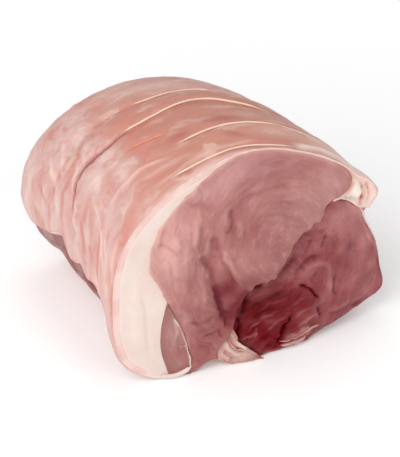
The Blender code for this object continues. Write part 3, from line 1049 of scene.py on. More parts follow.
@dataclass
class Sweep:
    """A piece of the joint that runs from the cut face to the far end.

    The piece's own kind says what its outline, its face and its outside look like. finishes holds the cut's
    finish, and the outside's where it has its own. Behind the cut the face's form dies out over fade, and its
    marks over fine_fade. centre is the middle of the fibres' curves.
    """

    name: str = ""
    node: str = ""
    finishes: Sequence[Finish] = ()
    face_step: float = 0.64
    back_step: float = 2.2
    gap: float = 0.02
    fade: float = 38.0
    fine_fade: float = 7.0
    spacing: float = 1.7
    centre: Point = (0.0, 60.0)
    # The cut's rounded edge: how far it is drawn in and how deep it lies, as shares of its radius.
    rounding: Sequence[Point] = ((1.0, 0.0), (0.62, 0.07), (0.3, 0.28), (0.08, 0.62), (0.0, 1.0))
    first_section: float = 2.6
    back_sections: int = 8
    # The last section stays this share of the far edge's rounding deep, and the far cut just behind it.
    back_share: float = 0.997
    back_inset: float = 0.04
    wall_flush: float = 0.6
    fold_seed: int = 51
    inset: float = 2.0
    edge_blurs: int = 4

    def outline(self) -> list[Stretch]:
        """The closed outline, anticlockwise, as stretches that each end where the next one starts."""
        raise NotImplementedError

    def form(self, points: Array) -> Array:
        """How far back of the cut's plane the face's broad form lies, which fades along the joint."""
        return np.zeros(len(points))

    def face(self, points: Array) -> Array:
        """The four fields of the face's own marks."""
        return np.zeros((4, len(points)))

    def outside(self, angle: Array, y: Array) -> Array:
        """The outside's marks, which are those of bare lean or fat unless the piece has its own.

        Args:
            angle: each point's angle about the centre, in radians.
            y: each point's depth.

        Returns:
            The four fields at each point: it lies inset under the skin's edge, in slack lengthways folds. It
                is
            a little darker all over, with painted shade in the folds' hollows and painted highlights on their
            crests.
        """
        folds = Noise(self.fold_seed).layered(np.stack([angle * RADIUS, y], axis=1), (9, 30), 3)
        under = smooth((y - BARREL.front - 1) / 18) * smooth((BARREL.back - y) / 8)
        lift = -self.inset * under + 0.5 * folds * under
        return np.stack([lift, 0.15 + np.clip(-folds, 0, 1) * 0.5, np.clip(folds, 0, 1) * 0.2, 0 * folds])

    def depths(self) -> Array:
        """The depth of each section behind the rounded edge."""
        first, last = BARREL.front + self.first_section, BARREL.back - BARREL.back_round
        body = np.linspace(first, last, round((last - first) / self.spacing) + 1)
        ends = np.sin(np.linspace(0, math.pi / 2, self.back_sections + 1)[1:])
        return np.concatenate([body, last + BARREL.back_round * np.minimum(ends, self.back_share)])

    def grain(self, points: Array, y: Array, on_cut: bool) -> Array:
        """Places along the fibres in mm: curved sheets about the centre on a cut, and lengthways outside.

        Args:
            points: rows of x and z on the cut face's plane.
            y: each point's depth.
            on_cut: whether the points lie on a cut.

        Returns:
            Rows of three numbers: across the fibres, along them, and apart for cut and outside.
        """
        offset = points - self.centre
        radius = np.hypot(offset[:, 0], offset[:, 1])
        angle = np.arctan2(offset[:, 1], offset[:, 0])
        across = radius if on_cut else 70 * np.mod(angle, math.tau)
        along = angle * (12 + 0.4 * radius) if on_cut else y
        return np.stack([across, along, np.full(len(points), 5.0 * on_cut)], axis=1)

    def carried(self, points: Array, y: Array, fields: Array, on_cut: bool) -> dict[str, Array]:
        """What each point carries for the materials.

        Args:
            points: rows of x and z on the cut face's plane.
            y: each point's depth.
            fields: the four fields at each point.
            on_cut: whether the points lie on a cut.

        Returns:
            The values of each attribute, by its name.
        """
        angle, distance = BARREL.polar(points)
        return {
            **dict(zip(("dark", "pale", "flush"), np.clip(fields[DARK_AND_SHADE:], 0, 1))),
            "depth": np.maximum(0, BARREL.rim_radius(angle) - distance),
            "grain": self.grain(points, y, on_cut),
            "crown": self.crown(angle, y),
        }

    def crown(self, angle: Array, y: Array) -> Array:
        """How much of the crown's tan the outside has at each angle and depth."""
        return np.zeros(len(angle))

    def build(self) -> bpy.types.Object:
        """The whole piece as a closed mesh."""
        stretches = self.outline()
        outline = np.concatenate([s.points[:-1] for s in stretches])
        seam = np.concatenate([[s.zone is Zone.SEAM] * (len(s.points) - 1) for s in stretches])
        rounds = np.concatenate([[s.round] * (len(s.points) - 1) for s in stretches])
        for _ in range(self.edge_blurs):
            rounds = (np.roll(rounds, 1) + 2 * rounds + np.roll(rounds, -1)) / 4
        outline = np.where(seam[:, None], drawn_in(outline, np.full(len(outline), self.gap)), outline)
        rounds = np.minimum(rounds, room(outline))
        angle = np.mod(BARREL.polar(outline)[0], math.tau)
        form = self.form(outline)
        face = self.face(outline)
        shell = Shell()
        rings, flats = [], []

        def ring(draw: Array, y: Array) -> None:
            """Adds one section, with the marks of face and outside.

            Args:
                draw: how far each of the outline's points is drawn in.
                y: each point's depth.
            """
            flat = drawn_in(outline, draw)
            fade, fine = (1 - smooth((y - BARREL.front) / reach) for reach in (self.fade, self.fine_fade))
            outer = self.outside(angle, y)
            lift = np.where(seam, 0, outer[LIFT])
            depth = y + form * fade - face[LIFT] * fine
            fields = np.where(seam, face * fine, outer)
            fields[FLUSH_AND_SHEEN] += self.wall_flush * seam * (1 - fine)
            rings.append(shell.add(BARREL.placed(flat, depth, lift), self.carried(flat, y, fields, False)))
            flats.append(flat)

        for draw, deep in self.rounding:
            ring(rounds * draw, BARREL.front + rounds * deep)
        for y in self.depths():
            ring(np.zeros(len(outline)), np.full(len(outline), y))
        outer_slot = len(self.finishes) - 1
        for before, after in zip(rings[:-1], rings[1:]):
            squares = np.stack([before, after, np.roll(after, -1), np.roll(before, -1)], axis=1)
            for side, slot in ((seam, 0), (~seam, outer_slot)):
                if side.any():
                    shell.tile(squares[side], slot)
        self.cap(shell, rings[0], flats[0], BARREL.front, self.face_step)
        self.cap(shell, rings[-1], flats[-1], BARREL.back, self.back_step)
        return shell.closed(self.name, [finish.material() for finish in self.finishes])

    def cap(self, shell: Shell, ring: Array, flat: Array, y: float, step: float) -> None:
        """Closes one end of the shell.

        Args:
            shell: the piece's shell.
            ring: the numbers of the end section's points.
            flat: where those points are on the cut face's plane.
            y: the end's depth.
            step: the triangles' size.
        """
        grid, triangles = filled(flat, step)
        front = y == BARREL.front
        fields = self.face(grid) if front else self.far_face(grid)
        depth = np.full(len(grid), y - (0 if front else self.back_inset))
        moved = self.form(grid) - fields[LIFT] if front else fields[LIFT]
        inner = shell.add(BARREL.placed(grid, depth + moved), self.carried(grid, depth, fields, True))
        numbers = np.concatenate([ring, inner])
        faces = numbers[triangles]
        shell.tile(faces if front else faces[:, ::-1], 0)

    def far_face(self, points: Array) -> Array:
        """The four fields of the far end's face: slack folds, with painted shade in their hollows and painted
        highlights on their crests, and no drawn marks.
        """
        folds = Noise(41).layered(points, 16, 4)
        return np.stack([0.9 * folds, np.clip(-folds, 0, 1) * 0.35, np.clip(folds, 0, 1) * 0.2, 0 * folds])

    def set_in_frame(self) -> bpy.types.Object:
        """Builds the piece and puts it in the place of its node."""
        piece = self.build()
        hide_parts(self.node)
        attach(piece, "root")
        return piece


# ---- the lines between the pieces


@dataclass(frozen=True)
class Lines:
    """The lines where the pieces meet on the cut face, as in the solid part."""

    lump_deg: float = 14.0
    skin_edge_deg: float = 230.0
    small_edge_deg: float = 236.8
    wedge_left_deg: float = 248.0
    wedge_right_deg: float = 278.7
    notch: Point = (46, 82)
    small_top: Point = (-49, 47)
    wedge_top: Point = (-13, 28)
    rind: float = 1.2
    step: float = 1.0
    rim_step: float = 1.15
    still_ends: float = 7.0

    def to_rim(self, line: Sequence[Point], angle_deg: float) -> Array:
        """A line between pieces, carried on to the cut face's outline."""
        end = BARREL.rim_stretch(angle_deg, angle_deg + 1, 1.0)[0]
        return curve_through([*line, tuple(end)], self.step)

    def wavy(self, line: Array, reach: float, size: float) -> Array:
        """The line with small waves that die out at its ends, as flesh never parts along a clean curve.

        Args:
            line: rows of x and z.
            reach: about how far a wave moves the line, in mm.
            size: the width of a wave.

        Returns:
            The wavy line.
        """
        along = lengths_along(line)
        hold = smooth(along / self.still_ends) * smooth((along[-1] - along) / self.still_ends)
        return line + (warped(line, reach, size, 71) - line) * hold[:, None]

    def side_top(self) -> Array:
        """From the notch to the rim under the lump."""
        return self.to_rim([self.notch, (52, 80.5), (58, 77), (62, 73.5)], self.lump_deg)

    def fat(self) -> Array:
        """Between fat and lean, from the notch over the top to the small muscle."""
        path = [
            self.notch, (52.5, 82.8), (57, 86), (58, 91), (54.5, 97.6), (47, 104), (31.5, 111.9),
            (10, 119), (-8, 120.2), (-22, 114.4), (-36, 104.5), (-46, 96), (-53, 87), (-57, 77),
            (-57.5, 67), (-53.5, 58), self.small_top,
        ]
        line = self.wavy(curve_through(path, self.step), 0.6, 7)
        angle, distance = BARREL.polar(line)
        held = np.minimum(1, (BARREL.rim_radius(angle) - self.rind) / distance)
        return BARREL.centre + (line - BARREL.centre) * held[:, None]

    def seam(self) -> Array:
        """Between the main and the side muscle, from the notch to the wedge's top."""
        path = [
            self.notch, (42, 78.5), (36, 73), (27, 70.5), (20, 65), (14.5, 56), (7, 49.5), (-2, 48), (-8, 42),
            self.wedge_top,
        ]
        return self.wavy(curve_through(path, self.step), 0.9, 6)

    def wedge_left(self) -> Array:
        """Between the main muscle and the wedge of fat."""
        return self.to_rim([self.wedge_top, (-16, 20), (-21.5, 14), (-22.8, 9)], self.wedge_left_deg)

    def wedge_right(self) -> Array:
        """Between the wedge of fat and the side muscle."""
        return self.to_rim([self.wedge_top, (-12.4, 20), (-9.4, 12), (-4, 5.6)], self.wedge_right_deg)

    def small_left(self) -> Array:
        """Between the fat and the small muscle."""
        path = [self.small_top, (-51.5, 38), (-53, 28), (-52.5, 16), (-50, 7)]
        return self.to_rim(path, self.skin_edge_deg)

    def small_right(self) -> Array:
        """Between the small and the main muscle."""
        path = [self.small_top, (-44.5, 37), (-41, 28), (-38, 16), (-37, 7)]
        return self.to_rim(path, self.small_edge_deg)

    def rim(self, start: float, end: float) -> Array:
        """A stretch of the cut face's outline."""
        return BARREL.rim_stretch(start, end, self.rim_step)


LINES = Lines()


# ---- the pieces


# The rind's scores, as angle in degrees and depth in mm. Strands make the lip behind each one.
SCORES = {
    "front": [
        (111.5, -37.2), (106.5, -36.2), (101.5, -35.6), (96.5, -34.9), (90.5, -34.0), (84.6, -33.8),
        (78.2, -33.3), (72.7, -34), (66.9, -35.1), (61, -37), (55, -40),
    ],
    "middle": [
        (58, -2), (67, 0.5), (74, 3), (79, 4.6), (84.7, 5.5), (90.6, 5.0), (99, 2.4), (107.6, 0.4), (116, 0),
        (122.4, 0.6), (130, 1.9), (140, 2.4), (149, 3.6), (158, 5.1), (172, 7.4), (184, 9.1), (194, 8.7),
        (200, 6.6), (204, 4.4), (208, 2),
    ],
    "rear": [
        (62, 25), (70, 28), (76.4, 29.3), (88.5, 27.3), (98.3, 24.8), (105.2, 23.8), (111.8, 23.9),
        (118, 25.2), (126, 26.8), (136, 27.8), (148, 28),
    ],
}
RIM_SCORE = [
    (123.4, -53.2), (119, -53.5), (114.5, -53.9), (108, -54.3), (102, -54.6), (96, -54.9), (90, -55.4),
    (84, -56.1), (76, -56.8), (67, -56.6),
]
SHORT_SCORE = [(140, -12.8), (133, -14.4), (128.4, -15.7), (122, -17.9), (116, -20.4), (112, -23.5)]
SHORT_LIP = [(164, -12.6), (157, -13.2), (150.5, -13.6), (143, -14.2)]
FAINT_SCORE = [
    (116, -42), (123.4, -39.1), (130.6, -36), (137, -34.6), (143.3, -33.4), (157, -32), (170, -31),
    (181, -31.3),
]


@dataclass
class FatCap(Sweep):
    """The rind and the fat under it, which wrap round the left, the top and the right shoulder."""

    name: str = "scored_rind_and_fat"
    node: str = "fat_cap"
    finishes: Sequence[Finish] = (Finish.BACK_FAT, Finish.RIND)
    spacing: float = 1.1
    swell: float = 1.9
    # The crown's tan: the angle where it ends and the degrees over which it fades, at the left and right.
    tan_left: Point = (160.0, 44.0)
    tan_right: Point = (16.0, 42.0)
    # How far behind the rim it starts and sets in, and where it pales towards the far end and over how far.
    tan_front: Point = (0.4, 2.5)
    tan_back: Point = (14.0, 26.0)
    # From this angle on, in degrees, the cut fat no longer has the rind's thin layers.
    foot_deg: float = 216.0

    def outline(self) -> list[Stretch]:
        """The skin's stretch of the rim, and back along the lean."""
        return [
            Stretch(LINES.rim(LINES.lump_deg, LINES.skin_edge_deg), Zone.OUTSIDE, 0.9),
            Stretch(LINES.small_left()[::-1], Zone.SEAM),
            Stretch(LINES.fat()[::-1], Zone.SEAM, 0.12),
            Stretch(LINES.side_top(), Zone.SEAM, 0.5),
        ]

    def crown(self, angle: Array, y: Array) -> Array:
        """Tan over the top, from above the left flank to the right shoulder."""
        deg = np.degrees(np.mod(angle, math.tau))
        top = smooth((self.tan_left[0] - deg) / self.tan_left[1])
        top = top * smooth((deg - self.tan_right[0]) / self.tan_right[1])
        begun = smooth((y - BARREL.front - self.tan_front[0]) / self.tan_front[1])
        return top * begun * (1 - 0.5 * smooth((y - self.tan_back[0]) / self.tan_back[1]))

    def bands(self, deg: Array, y: Array) -> Array:
        """The soft bands that swell between the scores."""
        edges = [np.full(len(y), BARREL.front)]
        for line in SCORES.values():
            edges.append(through_knots(deg, line))
        edges.append(np.full(len(y), BARREL.back))
        lift = np.zeros(len(y))
        for start, end in zip(edges[:-1], edges[1:]):
            half = (end - start) / 2
            share = np.maximum(0, 1 - ((y - start - half) / half) ** 2)
            lift = np.maximum(lift, np.where((y >= start) & (y <= end), share, 0))
        return self.swell * lift

    def outside(self, angle: Array, y: Array) -> Array:
        """Bands, scores, folds and stains of the rind."""
        place = np.stack([angle * RADIUS, y], axis=1)
        fields = RIND_GROUND.read(place) + SCORE_GROUND.read(place)
        deg = np.degrees(angle)
        skin = smooth((deg - LINES.lump_deg) / 20) * smooth((LINES.skin_edge_deg - deg) / 14)
        near_rim = smooth((y - BARREL.front - 0.8) / 5)
        slack = smooth((deg - 132) / 40)
        moved = warped(place, 5, 26, 13)
        fold = np.abs(Noise(11).layered(moved, (42, 9), 2)) - 0.3
        wrinkle = Noise(12).layered(moved, (26, 6), 3) * 0.22 + Noise(14).layered(moved, (34, 17), 2) * 0.5
        wrinkle = wrinkle + fold * (0.25 + 0.75 * slack)
        fields[LIFT] = (fields[LIFT] + wrinkle + self.bands(deg, y)) * skin * near_rim
        # Painted highlights on the wrinkles' crests over the slack flank.
        fields[PALE_AND_HIGHLIGHT] += 0.3 * np.clip(wrinkle, 0, 1) * slack
        return fields

    def face(self, points: Array) -> Array:
        """The cut fat: nearly flat, with the lump's folds and pits at the right."""
        fields = FAT_GROUND.read(points)
        fields[LIFT] += 0.12 * Noise(21).layered(points, 7, 3)
        lump = smooth((points[:, 0] - 53) / 6) * smooth((points[:, 1] - 70) / 4)
        fields[LIFT] += 0.45 * lump * Noise(22).layered(points, 2.8, 3)
        fields[FLUSH_AND_SHEEN] += 0.6 * np.exp(-nearest_on(points, LINES.fat())[0] / 1.1)
        return fields

    def carried(self, points: Array, y: Array, fields: Array, on_cut: bool) -> dict[str, Array]:
        """As for every piece, but the rind's layers end short of the fat's own foot."""
        carried = super().carried(points, y, fields, on_cut)
        deg = np.degrees(np.mod(BARREL.polar(points)[0], math.tau))
        carried["depth"] = carried["depth"] + 8 * smooth((deg - self.foot_deg) / 8)
        return carried


# The scores: a slit, with the band in front of it dipping under the one behind. Their dark is painted shade
# in each slit and on the band in front of it.
SCORE_GROUND = Ground(wander=0.0, marks=on_rind([
    Mark(SCORES["front"], 1.6, lift=-1.0, step=1.6, reach=7, dark=0.4, taper=0.1),
    Mark(SCORES["middle"][:11], 1.6, lift=-0.9, step=1.3, reach=7, dark=0.28, taper=0.08),
    Mark(SCORES["middle"][9:], 1.0, lift=-1.1, step=0.3, reach=4, dark=0.85, taper=0.12),
    Mark(SCORES["rear"], 1.6, lift=-0.9, step=1.2, reach=7, dark=0.2, taper=0.15),
    Mark(RIM_SCORE, 1.2, lift=-0.6, step=0.7, reach=4, dark=0.35, taper=0.15),
    Mark(SHORT_SCORE, 1.3, lift=-0.6, step=-0.6, reach=5, flush=1.0, dark=0.15, taper=0.3),
]))

RIND_GROUND = Ground(wander=0.7, size=14, seed=5, marks=on_rind([
    Mark(SHORT_LIP, 1.1, lift=0.4, pale=0.4, taper=0.3),
    Mark(FAINT_SCORE, 0.8, lift=0.35, pale=0.6, taper=0.2),
    Mark([(128, -39), (137, -37), (150, -35.5), (164, -34.5), (176, -35)], 0.8, lift=-0.45, flush=0.3,
         taper=0.3),
    # The middle score's end turns down the flank as a pale fold.
    ridge([(186, 12), (194, 11.5), (200, 9), (205, 6)], 1.0, 0.6, 0.45),
    ridge([(198, 6), (203, 2), (210, -1), (216, -5), (219, -10)], 1.2, 0.6, 0.6),
    ridge([(157, 8.5), (168, 9.8), (177, 10.9), (186, 11)], 1.1, 0.3, 0.25),
    # Tension folds down the flank.
    ridge([(186, 46), (193.7, 39.5), (208.5, 25.7), (224, 14.7), (230, 11.2)], 2.0, 0.8, 0.5),
    ridge([(170, 40), (177.6, 36.6), (191.6, 28.9), (204.3, 24.2)], 1.7, 0.6, 0.45),
    Mark([(170, 22), (177, 19), (188.6, 16.6), (200.9, 14.5), (213, 14)], 2.8, lift=-0.6, flush=0.85),
    Mark([(190, 50), (196, 47.3), (210, 42.2), (219, 38)], 1.5, lift=-0.5, flush=0.5),
    Mark([(203, 50), (210.3, 43.7), (215, 37.6), (220, 29)], 1.5, lift=-0.5, flush=0.5),
    ridge([(200, 62), (211, 53.5), (219, 45.3), (225, 38)], 1.8, 0.5, 0.3),
    ridge([(186, -16), (193.6, -23), (199, -30), (190, -38), (182, -46)], 1.5, 0.5, 0.5),
    ridge([(192, -26), (184, -32), (181.6, -37), (178, -44), (176, -50)], 1.3, 0.45, 0.45),
    Mark([(178, -20), (186, -27), (184, -35), (178, -42)], 1.4, lift=-0.5, flush=0.35),
    Mark([(204, -2), (211, -8), (217, -16), (222, -22)], 1.6, lift=-0.5, flush=0.5),
    Mark([(166, -52), (173, -54), (180, -56)], 1.8, lift=-0.3, flush=0.5),
    ridge([(155, -53), (163, -55), (173, -57)], 1.4, 0.3, 0.4),
    # Salmon and red stains, and paler ground between them.
    Mark([(137, -20), (131, -21), (125, -22.5), (119, -26)], 4.2, flush=0.95),
    Mark([(137, 13), (145, 16), (152.5, 19.8), (158, 22)], 3.6, flush=0.65),
    Mark([(189, -13), (199, -17.6), (209.5, -23), (216, -26)], 3.6, flush=0.55),
    Mark([(212, -20), (218.4, -25.6), (224, -27.7), (229, -29)], 3.0, flush=0.8),
    Mark([(143, -50), (139, -47), (133, -41.6)], 4.0, flush=0.5),
    ridge([(140, -40), (132, -42), (118, -45), (104, -47)], 1.3, 0.25, 0.3),
    Patch((109, -30.6), (9, 3.8), flush=1.0, dark=0.42), Patch((120.8, 14), (11, 4.5), flush=0.7),
    Patch((129, 16), (9, 5), flush=0.5), Patch((168, -23), (10, 6), flush=0.5),
    Patch((87.4, -25), (10, 4), flush=1.0, dark=0.46), Patch((83.5, -53.5), (5, 3), flush=0.8, dark=0.1),
    Patch((90.5, -44.6), (5, 3), flush=0.3, dark=0.25), Patch((112, -47), (7, 3), flush=0.4, dark=0.1),
    Patch((50, 2), (14, 9), flush=0.5), Patch((75, -50), (6, 3), flush=0.5),
    Patch((96, -13), (24, 9), flush=0.45), Patch((120, -10), (12, 6), flush=0.5, dark=0.06),
    Patch((179, -7.5), (12, 7), pale=0.45), Patch((150, -4), (11, 5), pale=0.4),
    Patch((150, -24), (12, 6), pale=0.3), Patch((120, -39), (9, 5), dark=0.1, pale=0.15),
    Patch((76, -21), (12, 5), pale=0.2), Patch((74, -43), (12, 5), pale=0.25),
    Patch((160, 33), (14, 6), pale=0.35), Patch((140, 27.5), (9, 4.5), flush=0.7),
    Patch((98, 44), (26, 6), pale=0.3), Patch((84, 36), (26, 9), pale=0.24),
    Patch((120, 52), (20, 8), pale=0.25), Patch((222, 60), (14, 12), pale=0.2),
    # The skin stops short of the fat's foot, which is bare and white.
    Patch((227, -52), (13, 20), pale=1.0, edge=2), Patch((180, -46), (11, 9), pale=0.2),
    Patch((112, -45), (34, 7), dark=0.13), Patch((118, -4), (22, 13), flush=0.3),
    # The two pale patches that end this list pale the right shoulder: cream rind, with painted light where it
    # turns away from the lamps.
    Patch((128, 10), (16, 9), flush=0.3), Patch((42, -44), (26, 13), pale=0.6),
    Patch((22, -38), (18, 24), pale=0.65),
    # Laminated streaks between the front score and the rim.
    ridge([(138, -49.5), (126, -50.5), (112, -50.5), (94, -51.5), (78, -52.5)], 0.9, 0.3, 0.35),
    Mark([(68, -55.8), (58, -53.6), (51.7, -52.2), (44, -53), (36, -55), (24, -56)], 2.4, lift=0.7,
         pale=0.85, taper=0.15),
    Mark([(62, -57.2), (54, -56), (46, -57), (38, -57.6)], 0.9, lift=-0.4, flush=0.9),
    Mark([(66, -49.5), (54, -48), (42, -48), (28, -50)], 1.3, lift=-0.5, flush=0.45),
]))

FAT_GROUND = Ground(wander=0.4, size=5, seed=9, marks=[
    # The lump: a white block of fat, a pitted fold beside it, and the rind's edge rolled round them. The pits
    # and folds are darkened with painted shade over dark red flesh.
    Patch((61.5, 83.2), (3.0, 3.8), turn=-6, lift=0.9, pale=0.95, edge=3),
    Patch((68.5, 84), (6.5, 11), flush=0.5), Patch((64.7, 78.1), (1.0, 1.3), lift=-1.2, dark=1.0),
    Patch((64.5, 84.2), (0.7, 0.9), lift=-0.6, dark=0.7),
    Patch((66.4, 85.2), (0.9, 0.6), lift=-0.5, dark=0.55),
    Patch((68.3, 82.8), (0.7, 0.8), lift=-0.5, dark=0.5), Patch((66.6, 81.2), (0.6, 0.6), dark=0.4),
    Mark([(63.6, 88), (64.7, 84), (65, 79), (64.2, 75.6), (63.4, 73.6)], 0.8, lift=-0.9, dark=0.2, flush=0.7,
         taper=0.12, sharp=True),
    Patch((63.6, 75.4), (1.8, 2.2), flush=0.8, dark=0.14),
    Mark([(52.6, 81.2), (58.2, 79.2), (62.5, 77.6)], 1.3, lift=-0.9, dark=0.3, pale=0.1),
    ridge([(67, 91), (70.6, 86), (72.3, 79.5), (71, 74.5)], 2.2, 1.0, 0.3),
    Mark([(65.5, 89), (68.4, 84), (69.3, 78), (67.6, 73.4)], 0.9, lift=-0.8, flush=0.4, dark=0.06),
    Mark([(58.8, 90.5), (58.2, 87), (56.4, 84.4), (53.2, 82.6)], 1.2, lift=-0.3, flush=0.95, dark=0.2),
    Mark([(49, 100.5), (55, 96.5), (60, 91.5), (61.5, 88)], 1.1, lift=-0.5, flush=0.8, dark=0.1),
    ridge([(54, 101.5), (60, 97), (65, 93), (69, 88)], 1.0, 0.6, 0.5),
    ridge([(40, 108.5), (49, 104), (56, 99)], 0.9, 0.4, 0.5),
    Mark([(-57, 60), (-59, 75), (-56, 86), (-49, 96)], 3.0, flush=0.12),
    ridge([(-64, 20), (-66, 45), (-65, 70)], 5.0, 0.5, 0.3),
    Mark([(-58, 12), (-60, 30), (-61, 50), (-64, 64)], 1.4, lift=-0.3, flush=0.1),
])


@dataclass
class MainMuscle(Sweep):
    """The big muscle of the cut face: domed, with a tongue that hangs over the hollow."""

    name: str = "main_muscle"
    node: str = "lean_main"
    finishes: Sequence[Finish] = (Finish.MAIN_LEAN,)
    centre: Point = (11.0, 68.0)
    dome: float = 5.5
    dome_centre: Point = (0.0, 76.0)
    dome_reach: Point = (42.0, 36.0)
    edge_reach: float = 14.0
    cleft: Sequence[Point] = ((-32, 66), (-28, 55), (-23, 46), (-19, 34))
    cleft_depth: float = 2.6
    cleft_width: float = 7.0
    proud: float = 0.15

    def outline(self) -> list[Stretch]:
        """Along the fat, the small muscle, the rim, the wedge of fat and the side muscle."""
        return [
            Stretch(LINES.fat(), Zone.SEAM, 0.12),
            Stretch(LINES.small_right(), Zone.SEAM, 0.7),
            Stretch(LINES.rim(LINES.small_edge_deg, LINES.wedge_left_deg), Zone.OUTSIDE, 1.4),
            Stretch(LINES.wedge_left()[::-1], Zone.SEAM, 1.2),
            Stretch(LINES.seam()[::-1], Zone.SEAM, 2.0),
        ]

    def form(self, points: Array) -> Array:
        """A dome that comes down to the fat's level at the fat, and the fold down its left."""
        dome = self.dome * bell(points, self.dome_centre, self.dome_reach)
        edge = smooth(nearest_on(points, LINES.fat())[0] / self.edge_reach)
        away = nearest_on(points, curve_through(self.cleft, 4))[0] / self.cleft_width
        return self.cleft_depth * np.exp(-away * away) - dome * edge - self.proud

    def face(self, points: Array) -> Array:
        """The cut's creases and swirls."""
        fields = MAIN_GROUND.read(points)
        grain = self.grain(points, 0 * points[:, 0], True)[:, :2]
        slack = smooth((-13 - points[:, 0]) / 14)
        fields[LIFT] += (
            0.14 * Noise(31).layered(grain, (2.6, 14), 3) + 0.35 * Noise(32).layered(points, 11, 3)
        )
        fold = np.abs(Noise(30).layered(warped(points, 4, 14, 77), (11, 22), 3)) - 0.3
        fields[LIFT] += 1.1 * slack * fold
        broad = Noise(33).layered(points, 17, 3)
        # Painted shade in the hollows of the slack folds at the left; the broad noise darkens and pales the
        # flesh at random.
        fields[DARK_AND_SHADE] += 0.14 * np.clip(-broad, 0, 1) + 0.25 * slack * np.clip(-fold, 0, 1)
        fields[PALE_AND_HIGHLIGHT] += 0.18 * np.clip(broad, 0, 1)
        edge = nearest_on(points, LINES.fat())[0]
        lump = smooth((points[:, 0] - 44) / 6) * smooth((points[:, 1] - 76) / 6)
        fields[PALE_AND_HIGHLIGHT] += (0.55 * np.exp(-edge / 1.2) + 0.12 * np.exp(-edge / 7)) * (1 - lump)
        fields[DARK_AND_SHADE] *= 0.35 + 0.65 * smooth(edge / 4)
        return fields


